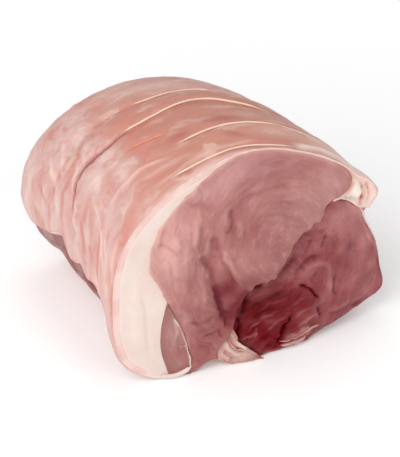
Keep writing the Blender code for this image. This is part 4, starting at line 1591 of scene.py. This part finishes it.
MAIN_GROUND = Ground(wander=0.8, size=5, seed=17, relief=0.6, marks=[
    # The swirl's curved sheets, with painted shade in their grooves.
    groove([(-13.6, 97.7), (-6.4, 98.8), (1.1, 99.3), (8.8, 100.1), (16.6, 99.3), (23.5, 96.2)], 1.3, 0.5,
           0.17),
    groove([(-2.3, 91.9), (4.3, 92.9), (11.1, 92.3), (17.8, 89.4), (23.3, 85.6)], 1.2, 0.45, 0.16),
    groove([(-2.9, 84.1), (1.8, 86.6), (9.7, 85.9), (17.4, 82.4), (22.8, 77.1)], 1.2, 0.45, 0.15),
    groove([(-7.8, 78), (-3.2, 81.6), (3.5, 82.7), (12.2, 80.3), (20.2, 74.3)], 1.3, 0.35, 0.13),
    groove([(9.7, 62.3), (6.8, 67.1), (9.8, 69.1), (14.3, 67.6), (15.8, 63.4), (13.2, 60.8)], 1.0, 0.3, 0.1),
    groove([(0, 111), (5, 112.5), (12, 112), (19, 108.5)], 1.6, 0.4, 0.16),
    ridge([(6, 96), (13, 97), (22, 95), (29, 90), (33, 84)], 1.3, 0.35, 0.16),
    groove([(24, 103), (33, 98), (39, 91)], 1.5, 0.3, 0.1),
    # The tongue: a raised lobe with a sharp left edge, painted shade at its step and painted highlights on
    # its ridges.
    Mark([(-24.5, 84), (-23.5, 79), (-22.2, 71.1), (-18.6, 62.2), (-15.2, 54.6), (-12.9, 49)], 1.2, step=3.4,
         reach=10, dark=0.3, taper=0.15),
    ridge([(-21, 76), (-19.4, 69.2), (-16, 61.8), (-12.9, 54)], 1.5, 0.5, 0.4),
    Mark([(-14.2, 95), (-14.8, 90.2), (-14.7, 86.2), (-16.2, 83.4), (-20, 82.4)], 1.3, lift=-1.5, dark=0.5,
         sharp=True, taper=0.2),
    ridge([(-11.5, 88), (-10.8, 82.7), (-12.4, 77.6)], 1.3, 0.6, 0.3),
    ridge([(-18, 93), (-18.5, 88), (-19, 85)], 1.4, 0.6, 0.16),
    # The cleft, and the lower ground between it and the tongue, both with painted shade; the marks down the
    # seam are painted shade beside the hollow.
    Mark([(-30.6, 72), (-28.5, 66.7), (-26, 62.6), (-24.7, 56.1), (-23.2, 49.3), (-20.7, 39.6),
          (-18.8, 31.7), (-18, 24)], 1.9, lift=-2.2, step=-1.6, reach=7, dark=0.5, taper=0.15),
    crease([(-23.4, 50), (-21, 41), (-19, 32), (-18, 25)], 1.3, 1.3, 0.45),
    Patch((-18.8, 50), (4.6, 15), turn=-14, lift=-1.5, dark=0.3, edge=1.5),
    Mark([(-20, 55), (-16.5, 48), (-13.5, 42), (-13, 35), (-15, 28), (-17, 20)], 5.2, dark=0.58, taper=0.2),
    Mark([(-4, 46.5), (-8, 42), (-12, 35), (-14, 28)], 4.4, dark=0.6, taper=0.15),
    Patch((-28, 34), (9, 20), dark=0.2),
    ridge([(-17, 47), (-14, 41), (-12, 36)], 1.2, 0.5, 0.14),
    # Folds left of the cleft, with painted shade in their creases and painted highlights on their ridges.
    ridge([(-34.6, 95), (-33, 88.2), (-33.4, 81.8), (-34.6, 75)], 1.9, 1.0, 0.34),
    crease([(-30.6, 91), (-30.5, 82.2), (-31.5, 75.8), (-30.1, 69)], 1.3, 1.2, 0.34),
    crease([(-26.3, 83), (-24.8, 75.7), (-25.1, 69.7), (-26.4, 64.6)], 1.3, 1.1, 0.3),
    ridge([(-28.3, 80), (-27.8, 74), (-28.2, 69)], 1.6, 0.6, 0.16),
    crease([(-54.5, 82.4), (-48.8, 79.9), (-45.6, 77.4), (-42, 72)], 1.3, 1.2, 0.32),
    groove([(-39.5, 99.8), (-33.2, 99.3), (-28.3, 97.6), (-22.5, 94.6)], 2.2, 0.9, 0.26),
    groove([(-44, 90), (-41, 83), (-41.5, 75), (-40, 66)], 1.8, 0.7, 0.16),
    groove([(-37, 68), (-38, 58), (-36, 47), (-38, 38)], 2.0, 0.6, 0.14),
    ridge([(-33, 62), (-31, 52), (-30, 43), (-31, 35)], 2.0, 0.7, 0.12),
    crease([(-39.5, 34.2), (-34.2, 31.6), (-28.8, 31.7), (-22.7, 33.7)], 1.2, 1.2, 0.34),
    crease([(-36, 27), (-31, 26), (-26, 27.5), (-22, 28)], 1.2, 0.7, 0.2),
    crease([(-32.5, 21.2), (-27.5, 22.7), (-23.4, 22.3), (-18.5, 20.4)], 1.2, 1.4, 0.5),
    ridge([(-42, 43), (-40, 36), (-38.5, 30)], 1.8, 0.6, 0.2),
    groove([(-36, 18), (-30, 14), (-26, 9)], 1.6, 0.5, 0.14),
    # Swellings with painted highlights, a painted lavender sheen along the top and left by the fat, darker
    # patches, and painted shade by the seam under the tongue.
    Patch((-47.5, 70), (8, 14), lift=0.9, pale=0.12), Patch((-37.5, 53), (6, 12), lift=0.7, pale=0.1),
    Patch((-1, 62), (15, 12), lift=0.4, pale=0.16, dark=0.05),
    Patch((-27, 104), (13, 7), pale=0.3, flush=0.25), Patch((-6, 113), (20, 7), flush=0.4),
    Patch((46, 92), (10, 12), pale=0.22, flush=0.25), Patch((-46, 84), (10, 14), pale=0.26, flush=0.15),
    Patch((28, 88), (16, 15), pale=0.2), Patch((-27, 14), (12, 14), dark=0.18),
    Patch((14, 106), (14, 7), dark=0.1), Patch((-50, 74), (9, 15), pale=0.28, flush=0.12),
    Patch((8, 92), (30, 12), pale=0.06), Patch((2, 74), (16, 12), dark=0.1),
    Patch((-12, 84), (13, 10), dark=0.14), Patch((-6, 49.5), (9, 6), dark=0.55),
    Patch((-46, 66), (14, 22), pale=0.14), Patch((-33, 80), (16, 16), pale=0.2),
])


@dataclass
class SideMuscle(Sweep):
    """The deeper muscle at the right, which falls back into a dark hollow under the main one."""

    name: str = "side_muscle"
    node: str = "lean_side"
    finishes: Sequence[Finish] = (Finish.SIDE_LEAN,)
    fold_seed: int = 52
    inset: float = 1.6
    centre: Point = (12.0, 42.0)
    set_back: float = 2.5
    notch_reach: float = 30.0
    hollow: float = 8.0
    hollow_centre: Point = (-2.0, 38.0)
    hollow_reach: Point = (27.0, 20.0)

    def outline(self) -> list[Stretch]:
        """Along the main muscle, the wedge of fat, the rim and the lump."""
        return [
            Stretch(LINES.seam(), Zone.SEAM, 0.4),
            Stretch(LINES.wedge_right(), Zone.SEAM, 1.4),
            Stretch(LINES.rim(LINES.wedge_right_deg, LINES.lump_deg + 360), Zone.OUTSIDE, 2.2),
            Stretch(LINES.side_top()[::-1], Zone.SEAM, 1.2),
        ]

    def grain(self, points: Array, y: Array, on_cut: bool) -> Array:
        """Curved sheets above, and torn fibres that run up to the right in the hollow."""
        grain = super().grain(points, y, on_cut)
        if not on_cut:
            return grain
        torn = points @ np.array(((0.42, 0.91), (-0.91, 0.42))) + (30, 0)
        share = smooth((54 - points[:, 0]) / 24) * smooth((50 - points[:, 1]) / 18)
        grain[:, :2] += (torn - grain[:, :2]) * share[:, None]
        return grain

    def form(self, points: Array) -> Array:
        """Set back behind the main muscle, and hollow under its tongue."""
        hollow = self.hollow * bell(points, self.hollow_centre, self.hollow_reach)
        from_notch = np.hypot(*(points - np.array(LINES.notch)).T)
        return self.set_back * smooth(from_notch / self.notch_reach) + hollow

    def face(self, points: Array) -> Array:
        """Creases, ridges and torn fibres."""
        fields = SIDE_GROUND.read(points)
        grain = self.grain(points, 0 * points[:, 0], True)[:, :2]
        rough = smooth((50 - points[:, 0]) / 26) * smooth((51 - points[:, 1]) / 20)
        fields[LIFT] += (0.2 + 0.3 * rough) * Noise(35).layered(grain, (3.0, 12), 4)
        fields[LIFT] += 0.4 * Noise(36).layered(points, 10, 3)
        torn = warped(points, 3, 12, 75) @ np.array(((0.91, -0.42), (0.42, 0.91)))
        fold = np.abs(Noise(34).layered(torn, (17, 4.2), 3)) - 0.3
        fields[LIFT] += 0.75 * rough * fold
        # Painted shade in the hollows of the torn folds.
        fields[DARK_AND_SHADE] += 0.3 * rough * np.clip(-2.5 * fold, 0, 1)
        broad = Noise(37).layered(points, 12, 3)
        fields[DARK_AND_SHADE] += 0.3 * np.clip(-broad, 0, 1)
        fields[PALE_AND_HIGHLIGHT] = (fields[PALE_AND_HIGHLIGHT] + 0.25 * np.clip(broad, 0, 1)) * (1 - 0.25 * rough)
        fields[FLUSH_AND_SHEEN] += 0.55 * rough
        return fields

    def outside(self, angle: Array, y: Array) -> Array:
        """Bare lean at the right and under the joint, under a thin pale film near the lump."""
        fields = super().outside(angle, y)
        deg = np.degrees(angle)
        from_lump = np.abs(np.mod(deg - 8 + 180, 360) - 180)
        film = smooth((26 - from_lump + 4 * Noise(55).layered(np.stack([y, deg], 1), 20, 3)) / 24)
        fields[PALE_AND_HIGHLIGHT] += 0.65 * film * smooth((y + 64) / 6)
        return fields


SIDE_GROUND = Ground(wander=0.8, size=4.5, seed=23, relief=0.65, marks=[
    # Creases and grooves with painted shade over the darker red flesh, and ridges with painted highlights.
    Mark([(25, 37), (29.8, 35.3), (33.5, 32.5), (36.6, 28), (39.6, 24)], 0.9, lift=-1.9, dark=0.85,
         taper=0.2),
    groove([(38.6, 22.5), (38.9, 20), (39.5, 17), (41.6, 13.4)], 1.0, 1.4, 0.7),
    ridge([(27, 38), (28.8, 43), (32.6, 46.6), (38.5, 47.3), (43.4, 44.4), (45.4, 38.1), (46, 29.7),
           (48, 22)], 1.7, 1.4, 0.34),
    groove([(24, 38), (25.9, 44.6), (29.5, 49), (34.3, 51), (41.5, 50)], 1.6, 1.0, 0.4),
    crease([(49, 38), (48.6, 29.6), (49.6, 22.5)], 1.1, 1.0, 0.6),
    groove([(37.8, 42), (35, 38.8), (33.4, 36)], 1.2, 0.7, 0.35),
    ridge([(41.9, 16.7), (48.1, 16.1), (55.2, 15.7), (63.6, 16), (74.2, 16.4)], 1.4, 0.7, 0.14),
    groove([(42, 13.4), (50, 12.4), (60, 12.4), (72, 12.6)], 1.4, 0.6, 0.25),
    crease([(42.6, 63), (41.5, 58.6), (41, 54)], 1.2, 0.7, 0.6),
    crease([(60.6, 53), (62, 47.6), (62.4, 43)], 1.2, 0.5, 0.35),
    crease([(28, 64.6), (33, 66.6), (38, 66.3), (45, 65.4)], 1.3, 0.5, 0.35),
    ridge([(50, 65), (53.4, 54), (53.5, 45)], 1.6, 0.5, 0.16),
    crease([(34.6, 64), (32, 57.8), (28.6, 53.6)], 1.4, 0.6, 0.35),
    groove([(57, 64), (58.5, 54), (57.5, 44), (55, 34)], 1.6, 0.4, 0.2),
    ridge([(66, 58), (68, 46), (68, 34)], 2.0, 0.4, 0.1),
    groove([(24, 58), (21, 50), (16, 44), (8, 41)], 2.0, 0.8, 0.45),
    # The gap under the tongue, and down the wedge of fat: painted shade in the gap, over dark red flesh.
    Mark([(-2, 37), (1, 38.6), (4, 39), (8, 40.4)], 1.5, lift=-1.6, dark=0.85, taper=0.2),
    Mark([(0, 38.4), (-2.4, 34.4), (-2.9, 29.4), (-5.2, 24)], 1.5, lift=-1.6, dark=0.7, taper=0.15),
    Mark([(-7.4, 25.4), (-6.8, 19.7), (-7.6, 15.5), (-6.4, 10)], 1.2, lift=-1.6, dark=0.85, taper=0.15),
    Patch((-5, 37), (6, 8), dark=0.12), Patch((3, 37), (9, 8), pale=0.14),
    Patch((-9, 30), (5, 7), dark=0.35),
    # Torn fibres of the red meat with painted wet highlights on them, and creases through them with painted
    # shade.
    ridge([(1.8, 24), (8.4, 26.6), (14, 29.8), (22, 31)], 0.55, 0.4, 0.2),
    crease([(0, 27), (7, 30), (14, 33.6), (21, 35)], 1.1, 0.9, 0.5),
    ridge([(-1.1, 16.7), (4.9, 19.1), (10.6, 22.4), (16.3, 24.8)], 0.5, 0.4, 0.26),
    crease([(-2, 20.5), (5, 22.5), (12, 25.6), (18, 27.4)], 1.1, 0.9, 0.5),
    ridge([(-7.3, 11), (-1.7, 11.6), (5, 12)], 0.5, 0.4, 0.4),
    crease([(-6, 14), (0, 14.6), (7, 16)], 1.0, 0.8, 0.45),
    ridge([(1.2, 8.6), (2.2, 12.6), (3.5, 16)], 0.5, 0.4, 0.4),
    ridge([(8.9, 12.5), (13.8, 16.5), (17.2, 19.1), (20.8, 22)], 0.5, 0.4, 0.26),
    crease([(7, 8), (12, 12.6), (16, 15.6)], 1.0, 0.8, 0.5),
    ridge([(-4.4, 13.1), (-0.3, 16.5), (5.6, 18.1)], 0.5, 0.4, 0.3),
    ridge([(22, 25), (27, 28), (31, 29)], 0.8, 0.5, 0.2),
    ridge([(24, 18), (28, 21), (33, 22)], 0.7, 0.5, 0.3),
    Mark([(23, 20.6), (20.1, 15.9), (18.5, 11), (17.2, 7.3), (15.6, 4)], 1.1, lift=-2.3, dark=0.95,
         taper=0.15),
    Patch((14.5, 3.5), (3.2, 2.6), flush=1.0, dark=0.35, lift=-1.0),
    Patch((8, 6), (4, 3), flush=0.9, lift=0.6),
    # Pale fat and film along the low edge.
    Mark([(18.5, 4.5), (22.5, 7.2), (27, 8), (29.8, 9.9), (35.3, 9.6)], 1.3, lift=0.9, pale=0.85,
         taper=0.15),
    Mark([(17.8, 1), (22.9, 2), (26.2, 3.6), (30.3, 6), (36, 7)], 1.6, lift=0.8, pale=0.8, taper=0.15),
    Mark([(20, 4.4), (24, 5), (28, 6.4), (33, 7.6)], 0.8, lift=-0.8, flush=0.5, dark=0.3),
    ridge([(24.4, 12), (30.5, 14.1), (35.8, 15.9), (39.4, 16.7)], 0.9, 0.6, 0.5),
    Mark([(55, 81), (61, 77), (65, 71), (68, 63), (72, 54), (75, 46)], 1.5, pale=0.8, lift=-0.2, taper=0.15),
    # A painted highlight on a swelling, a painted sheen over the smooth top right, redder patches lower down
    # and a darker low edge.
    Patch((30, 42), (5, 4), lift=0.8, pale=0.12), Patch((56, 74), (11, 7), pale=0.5),
    Patch((3, 20), (18, 17), flush=0.35), Patch((50, 50), (14, 15), flush=0.33),
    Patch((34, 22), (12, 12), flush=0.12), Patch((50, 67), (14, 9), pale=0.2),
    Patch((60, 60), (12, 12), pale=0.1), Patch((66, 62), (8, 14), pale=0.34),
    Patch((40, 57), (9, 7), pale=0.1, dark=0.05), Patch((72, 36), (12, 18), pale=0.16),
    Patch((50, 6), (20, 5), dark=0.15),
])


@dataclass
class SmallMuscle(Sweep):
    """The slim muscle between the fat and the main muscle, low at the left."""

    name: str = "small_muscle"
    node: str = "lean_small"
    finishes: Sequence[Finish] = (Finish.SMALL_LEAN,)
    fold_seed: int = 53
    centre: Point = (-20.0, 20.0)

    def outline(self) -> list[Stretch]:
        """Along the fat, the rim and the main muscle."""
        return [
            Stretch(LINES.small_left(), Zone.SEAM, 0.5),
            Stretch(LINES.rim(LINES.skin_edge_deg, LINES.small_edge_deg), Zone.OUTSIDE, 0.9),
            Stretch(LINES.small_right()[::-1], Zone.SEAM, 0.7),
        ]

    def face(self, points: Array) -> Array:
        """A white film down its right, and a fainter one at its left."""
        fields = SMALL_GROUND.read(points)
        fields[LIFT] += 0.3 * Noise(38).layered(points, 6, 3)
        return fields


SMALL_GROUND = Ground(wander=0.5, size=5, seed=27, marks=[
    Mark([(-45.6, 37.4), (-43.5, 33.9), (-42, 30), (-40.6, 25.4), (-39.2, 19), (-38, 12), (-37.6, 5.3)], 0.8,
         lift=0.3, pale=0.45, taper=0.15),
    Mark([(-46.8, 39), (-45, 33.7), (-44.4, 29), (-45, 22)], 0.8, lift=0.3, pale=0.45, taper=0.3),
    groove([(-46, 40), (-45, 30), (-43, 20), (-43, 10)], 1.4, 0.6, 0.2),
    Patch((-46, 28), (5, 12), pale=0.2, flush=0.3), Patch((-44, 8), (6, 5), flush=0.3),
])


@dataclass
class FatWedge(Sweep):
    """The wedge of seam fat between the main and the side muscle, pulled into glossy lobes."""

    name: str = "wedge_of_seam_fat"
    node: str = "seam_fat"
    finishes: Sequence[Finish] = (Finish.SEAM_FAT,)
    fold_seed: int = 54
    inset: float = 1.2
    centre: Point = (-13.0, 40.0)
    face_step: float = 0.55
    # Above its foot the wedge falls back by this much, over this height.
    foot: float = 9.0
    rise: float = 18.0
    top_back: float = 5.0

    def outline(self) -> list[Stretch]:
        """Along the main muscle, the rim and the side muscle."""
        return [
            Stretch(LINES.wedge_left(), Zone.SEAM, 1.0),
            Stretch(LINES.rim(LINES.wedge_left_deg, LINES.wedge_right_deg), Zone.OUTSIDE, 1.6),
            Stretch(LINES.wedge_right()[::-1], Zone.SEAM, 1.2),
        ]

    def form(self, points: Array) -> Array:
        """Its thin top end lies back in the hollow, and its foot comes forward."""
        return self.top_back * smooth((points[:, 1] - self.foot) / self.rise)

    def face(self, points: Array) -> Array:
        """Lobes and folds that run down to the table."""
        fields = WEDGE_GROUND.read(points)
        fields[LIFT] += 0.6 * Noise(39).layered(points, 5, 3)
        return fields


WEDGE_GROUND = Ground(wander=0.5, size=4, seed=29, marks=[
    # Lobes paler along their crests, painted highlight as well as whiter fat, and sharp folds with pink and
    # painted shade in them; darker spots at the tip and the foot.
    Mark([(-13.4, 25), (-12.9, 20), (-11.8, 16), (-10, 12.2), (-5.6, 7.6)], 1.1, lift=1.2, pale=0.8,
         taper=0.12),
    ridge([(-17.4, 17), (-17.3, 12.6), (-14.2, 9), (-9.2, 4.4)], 1.2, 1.1, 0.6),
    Mark([(-15.4, 19), (-15, 14.4), (-12, 10.4), (-7.4, 5.6)], 1.0, lift=-1.2, flush=0.8, dark=0.25,
         sharp=True),
    Mark([(-13, 12), (-9.6, 8.4), (-4.9, 3.6), (-0.7, 1)], 0.9, lift=-0.9, flush=0.5, dark=0.15, sharp=True),
    ridge([(-21, 12), (-19.4, 8), (-15, 4)], 1.3, 0.9, 0.5),
    Mark([(-19.6, 12), (-17.6, 8), (-13, 3.4)], 1.0, lift=-0.9, flush=0.6, dark=0.1, sharp=True),
    Patch((-20, 5.4), (3, 2.4), flush=0.35, lift=0.5), Patch((-6, 4), (5, 3), pale=0.35),
    Patch((-13.4, 26), (1.6, 3), flush=0.5, dark=0.3), Patch((3.5, -0.5), (6, 4), dark=0.75, flush=0.3),
])


# ---- strands


# A strand tapers over this share of its length at each end, down to this share of its width.
TAPER, TIP = 0.12, 0.12
STRAND_SIDES = 8


@dataclass(frozen=True)
class Strand:
    """A thin strand along a route in mm, with its half width in the middle."""

    route: Array
    radius: float


class StrandTree:
    """A Geometry Nodes tree that turns routes into round, tapering strands."""

    def __init__(self) -> None:
        """Builds the tree with its named inputs."""
        self.tree = bpy.data.node_groups.new("strand_from_route", "GeometryNodeTree")
        ports, self.inputs = self.tree.interface, {}
        kinds = {"Route": "Geometry", "Sides": "Int", "Radius": "Float", "Material": "Material"}
        for name, kind in kinds.items():
            self.inputs[name] = ports.new_socket(name, in_out="INPUT", socket_type="NodeSocket" + kind)
        ports.new_socket("Strand", in_out="OUTPUT", socket_type="NodeSocketGeometry")
        start = add_node(self.tree, "NodeGroupInput", {})
        curve = self.add("MeshToCurve", {0: start.outputs["Route"]})
        ring = self.add("CurvePrimitiveCircle", {"Resolution": start.outputs["Sides"], "Radius": 1.0})
        share = self.add("InputNamedAttribute", {"Name": "girth"}, data_type="FLOAT")
        factors = {0: share.outputs["Attribute"], 1: start.outputs["Radius"]}
        girth = add_node(self.tree, "ShaderNodeMath", factors, operation="MULTIPLY")
        tube = self.add(
            "CurveToMesh",
            {"Curve": curve.outputs[0], "Profile Curve": ring.outputs[0], "Scale": girth.outputs[0],
             "Fill Caps": True},
        )
        soft = self.add("SetShadeSmooth", {0: tube.outputs[0]})
        real = self.add("RealizeInstances", {0: soft.outputs[0]})
        dressed = self.add("SetMaterial", {0: real.outputs[0], "Material": start.outputs["Material"]})
        add_node(self.tree, "NodeGroupOutput", {0: dressed.outputs[0]})

    def add(self, kind: str, inputs: dict, **settings: object) -> Node:
        """Adds a geometry node, as add_node does, by its type without the GeometryNode in front."""
        return add_node(self.tree, "GeometryNode" + kind, inputs, **settings)

    def grow(self, name: str, strands: Sequence[Strand], material: Material) -> bpy.types.Object:
        """Turns strands into one plain mesh object.

        Args:
            name: the new piece's name.
            strands: the routes and their half widths.
            material: the strands' finish.

        Returns:
            The piece, at the origin.
        """
        points = np.concatenate([s.route for s in strands]) * MM
        girth, edges, first = [], [], 0
        for s in strands:
            share = np.linspace(0, 1, len(s.route))
            full = smooth(share / TAPER) * smooth((1 - share) / TAPER)
            girth.append(s.radius * (TIP + (1 - TIP) * full))
            edges += [(first + i, first + i + 1) for i in range(len(s.route) - 1)]
            first += len(s.route)
        mesh = bpy.data.meshes.new(name)
        mesh.from_pydata(points.tolist(), edges, [])
        layer = mesh.attributes.new("girth", "FLOAT", "POINT")
        layer.data.foreach_set("value", np.concatenate(girth).astype(np.float32))
        source = add_object(name + "_routes", mesh)
        grower = source.modifiers.new("strand", "NODES")
        grower.node_group = self.tree
        grower[self.inputs["Sides"].identifier] = STRAND_SIDES
        grower[self.inputs["Radius"].identifier] = MM
        grower[self.inputs["Material"].identifier] = material
        shown = source.evaluated_get(bpy.context.evaluated_depsgraph_get())
        grown = bpy.data.meshes.new_from_object(shown)
        grown.name = name
        source.modifiers.remove(grower)
        bpy.data.objects.remove(source)
        return add_object(name, grown)


@dataclass
class Strands:
    """What is thin: the scores' split edges, closed slits whose dark floors are painted shade, white films,
    and fat drawn out in threads.
    """

    tree: StrandTree
    cap: FatCap
    side: SideMuscle
    small: SmallMuscle
    wedge: FatWedge
    sunk: float = 0.35
    spacing: float = 1.6
    sway: float = 0.2
    sway_length: float = 30.0
    lift_blurs: int = 6

    def on_rind(self, places: Sequence[Point], radius: float, behind: float) -> Strand:
        """A strand along a line of angles and depths, on the rind's own surface.

        Args:
            places: the line's points, as angle in degrees and depth in mm.
            radius: the strand's half width.
            behind: how far behind the line the strand lies.

        Returns:
            The strand.
        """
        line = curve_through([round_outside(place) for place in places], self.spacing)
        sway = Noise(61).layered(line, self.sway_length, 2) * self.sway
        angle, y = line[:, 0] / RADIUS, line[:, 1] + behind + sway
        lift = self.cap.outside(angle, y)[LIFT] + radius - self.sunk
        for _ in range(self.lift_blurs):
            lift[1:-1] = (lift[:-2] + 2 * lift[1:-1] + lift[2:]) / 4
        flat = BARREL.at(angle, BARREL.rim_radius(angle))
        return Strand(BARREL.placed(flat, y, lift), radius)

    def on_face(self, path: Sequence[Point], radius: float, muscle: Sweep, sunk: float = 0.3) -> Strand:
        """A strand along a line of the cut face, partly sunk in a muscle's surface.

        Args:
            path: the line's points on the cut face's plane.
            radius: the strand's half width.
            muscle: the piece it lies on, which knows its relief.
            sunk: how far it is sunk in, in mm.

        Returns:
            The strand.
        """
        line = warped(curve_through(path, 1.0), 0.4, 5, 63)
        depth = BARREL.front + muscle.form(line) - muscle.face(line)[LIFT] - radius + sunk
        return Strand(BARREL.placed(line, depth), radius)

    def set_in_frame(self) -> list[bpy.types.Object]:
        """Makes the six pieces of strands and attaches each to the root body."""
        side, small, wedge = self.side, self.small, self.wedge
        lips = [
            self.on_rind(SCORES["rear"][1:7], 0.42, 1.3),
            self.on_rind(SCORES["middle"][:11], 0.52, 1.3),
            self.on_rind(SCORES["front"], 0.56, 1.3),
            self.on_rind(RIM_SCORE, 0.42, 1.0),
        ]
        stained = [self.on_rind(SHORT_SCORE, 0.42, 0.2)]
        slits = [
            self.on_rind(SCORES["middle"][9:], 0.32, 0.2),
            self.on_rind(SCORES["rear"][6:], 0.2, 0.2),
        ]
        films = [
            self.on_face([(53.4, 80), (57.4, 77.8), (61, 74.9), (65.2, 70.8), (67.7, 66.6), (69.3, 62.2),
                          (71.5, 57.6), (74.1, 52.8)], 0.5, side, 0.8),
            self.on_face([(46, 81.5), (50, 82), (55, 80)], 0.6, side),
            self.on_face([(-45.6, 36.4), (-44.4, 33.8), (-43.4, 31.6)], 0.4, small),
            self.on_face([(-42.9, 28.5), (-40.7, 24), (-39.2, 18), (-38.4, 12), (-38.2, 6)], 0.2, small),
            self.on_face([(-45.2, 30), (-43.8, 26), (-42, 22.4)], 0.13, small),
            self.on_face([(-43, 19.4), (-41, 18.2), (-39, 19.4)], 0.15, small),
        ]
        foot = [
            self.on_face([(-54, 3.6), (-50, 2.2), (-46, 1.4), (-42, 1.6), (-38.4, 3.4)], 1.2, small, 0.5),
            self.on_face([(-38.1, 12), (-38.3, 7), (-38.4, 2.5)], 0.36, small),
        ]
        fringe = [
            self.on_face([(17.6, 1.2), (21.5, 1.5), (25, 1.8), (28.5, 3.4), (31, 5.2)], 0.8, side, 0.5),
            self.on_face([(16.7, 4.3), (20.7, 4.1), (24.5, 4.6), (28, 6.2), (31.4, 7.8)], 0.4, side),
            self.on_face([(29.5, 7.2), (32.5, 8.6), (36, 9.2), (40, 9)], 0.5, side),
            self.on_face([(-13.2, 34), (-13.5, 30), (-13.7, 25), (-13, 20), (-11.6, 15)], 0.75, wedge),
            self.on_face([(-15, 17), (-14, 12.4), (-10, 8), (-4, 4.4)], 0.6, wedge),
        ]
        pieces = []
        for name, strands, slot, finish in (
            ("score_lips", lips, "fat_cap", Finish.SPLIT_EDGE),
            ("stained_score_lip", stained, "fat_cap", Finish.STAINED_EDGE),
            ("score_slits_painted_shade", slits, "fat_cap", Finish.SHADED_SLIT_FLOOR),
            ("silver_skin", films, "lean_side", Finish.SILVER_SKIN),
            ("fat_fringe", fringe, "seam_fat", Finish.SEAM_FAT),
            ("fat_foot", foot, "fat_cap", Finish.FOOT_FAT),
        ):
            piece = self.tree.grow(name, strands, finish.material())
            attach(piece, "root")
            pieces.append(piece)
        return pieces


# ---- the studio


@dataclass(frozen=True)
class Softbox:
    """A square white lamp that looks at the joint from an angle. Its sizes are in metres and watts."""

    name: str
    azimuth: float
    elevation: float
    distance: float
    size: float
    power: float

    def hang(self, target: Vector) -> None:
        """Adds the lamp to the scene, turned to the target."""
        lamp = bpy.data.lights.new(self.name, "AREA")
        lamp.size, lamp.energy = self.size, self.power
        aim(add_object(self.name, lamp), self.azimuth, self.elevation, self.distance, target)


def aim(thing: bpy.types.Object, azimuth: float, elevation: float, distance: float, target: Vector) -> None:
    """Sets a lamp or camera at its distance from the target, turned to it.

    Args:
        thing: the lamp or camera.
        azimuth: the angle round the joint in degrees, from the front of the cut face to its right.
        elevation: the angle above the table in degrees.
        distance: how far away it is, in metres.
        target: what it looks at.
    """
    a, e = math.radians(azimuth), math.radians(elevation)
    back = Vector((math.sin(a) * math.cos(e), -math.cos(a) * math.cos(e), math.sin(e)))
    thing.location = target + back * distance
    thing.rotation_euler = back.to_track_quat("Z", "Y").to_euler()


@dataclass(frozen=True)
class Studio:
    """A pale floor, soft light and a camera at the photograph's angle, in metres and degrees."""

    azimuth: float = -27.0
    elevation: float = 31.0
    distance: float = 0.750
    lens: float = 107.4
    target: Vector = field(default_factory=lambda: Vector((-1.28, -5.22, 45.0)) * MM)
    floor_reach: float = 3.0
    floor_colour: str = "#fafafa"
    floor_fleck: str = "#f7f7f7"
    floor_glow: float = 0.15
    far_glow: float = 0.22
    sky: float = 0.385
    lamps: Sequence[Softbox] = (
        Softbox("key", -62, 42, 1.1, 0.8, 8.2),
        Softbox("front", 12, 30, 1.2, 0.7, 2.2),
        Softbox("top", 150, 70, 1.2, 0.9, 3.0),
    )

    def floor(self) -> None:
        """A large pale sheet just under the joint."""
        mesh = bpy.data.meshes.new("studio_floor")
        reach = self.floor_reach
        corners = [(-reach, -reach, 0), (reach, -reach, 0), (reach, reach, 0), (-reach, reach, 0)]
        mesh.from_pydata(corners, [], [(0, 1, 2, 3)])
        bench = Bench("matt_white_paper")
        # Matt white paper: no gloss, and a faint grain that keeps it from looking like plastic.
        place = bench.place()
        grain = bench.pattern(place, 0.4, 2.0)
        shade = bench.tinted(colour(self.floor_colour), grain, (0.3, 0.7), 1.0, self.floor_fleck)
        away = bench.add("VectorMath", {0: place}, operation="LENGTH").outputs["Value"]
        glow = bench.add("Math", {0: bench.ranged(away, 0.15, 0.7, self.far_glow), 1: self.floor_glow})
        lit = {"Emission Color": (1.0, 1.0, 1.0, 1.0), "Emission Strength": glow.outputs[0]}
        paper = {"Base Color": shade, "Roughness": 0.9, "Specular IOR Level": 0.1, **lit}
        feed(bench.tree, bench.shader, paper)
        mesh.materials.append(bench.material)
        sheet = add_object("studio_floor", mesh)

    def light(self) -> None:
        """An even white surround and the soft lamps."""
        world = bpy.data.worlds.new("studio")
        world.use_nodes = True
        ground = world.node_tree.nodes["Background"]
        ground.inputs["Color"].default_value = (1, 1, 1, 1)
        ground.inputs["Strength"].default_value = self.sky
        bpy.context.scene.world = world
        for lamp in self.lamps:
            lamp.hang(self.target)
        bpy.context.scene.view_settings.view_transform = "Standard"

    def camera(self) -> None:
        """The camera that looks down on the cut face from its left."""
        lens = bpy.data.cameras.new("camera")
        lens.lens, lens.sensor_width = self.lens, 36.0
        lens.clip_start, lens.clip_end = 0.05, 20.0
        eye = add_object("camera", lens)
        aim(eye, self.azimuth, self.elevation, self.distance, self.target)
        bpy.context.scene.camera = eye

    def set_up(self) -> None:
        """All of the studio."""
        self.floor()
        self.light()
        self.camera()


def main() -> None:
    """Sets up the studio, then builds the joint's pieces in order and reports each one."""
    logging.basicConfig(level=logging.INFO, format="%(name)s: %(message)s")
    Studio().set_up()
    cap, side, small, wedge = FatCap(), SideMuscle(), SmallMuscle(), FatWedge()
    pieces = [part.set_in_frame() for part in (cap, MainMuscle(), side, small, wedge)]
    pieces += Strands(StrandTree(), cap, side, small, wedge).set_in_frame()
    for piece in pieces:
        log.info("%s: %d faces", piece.name, len(piece.data.polygons))


if __name__ == "__main__":
    main()
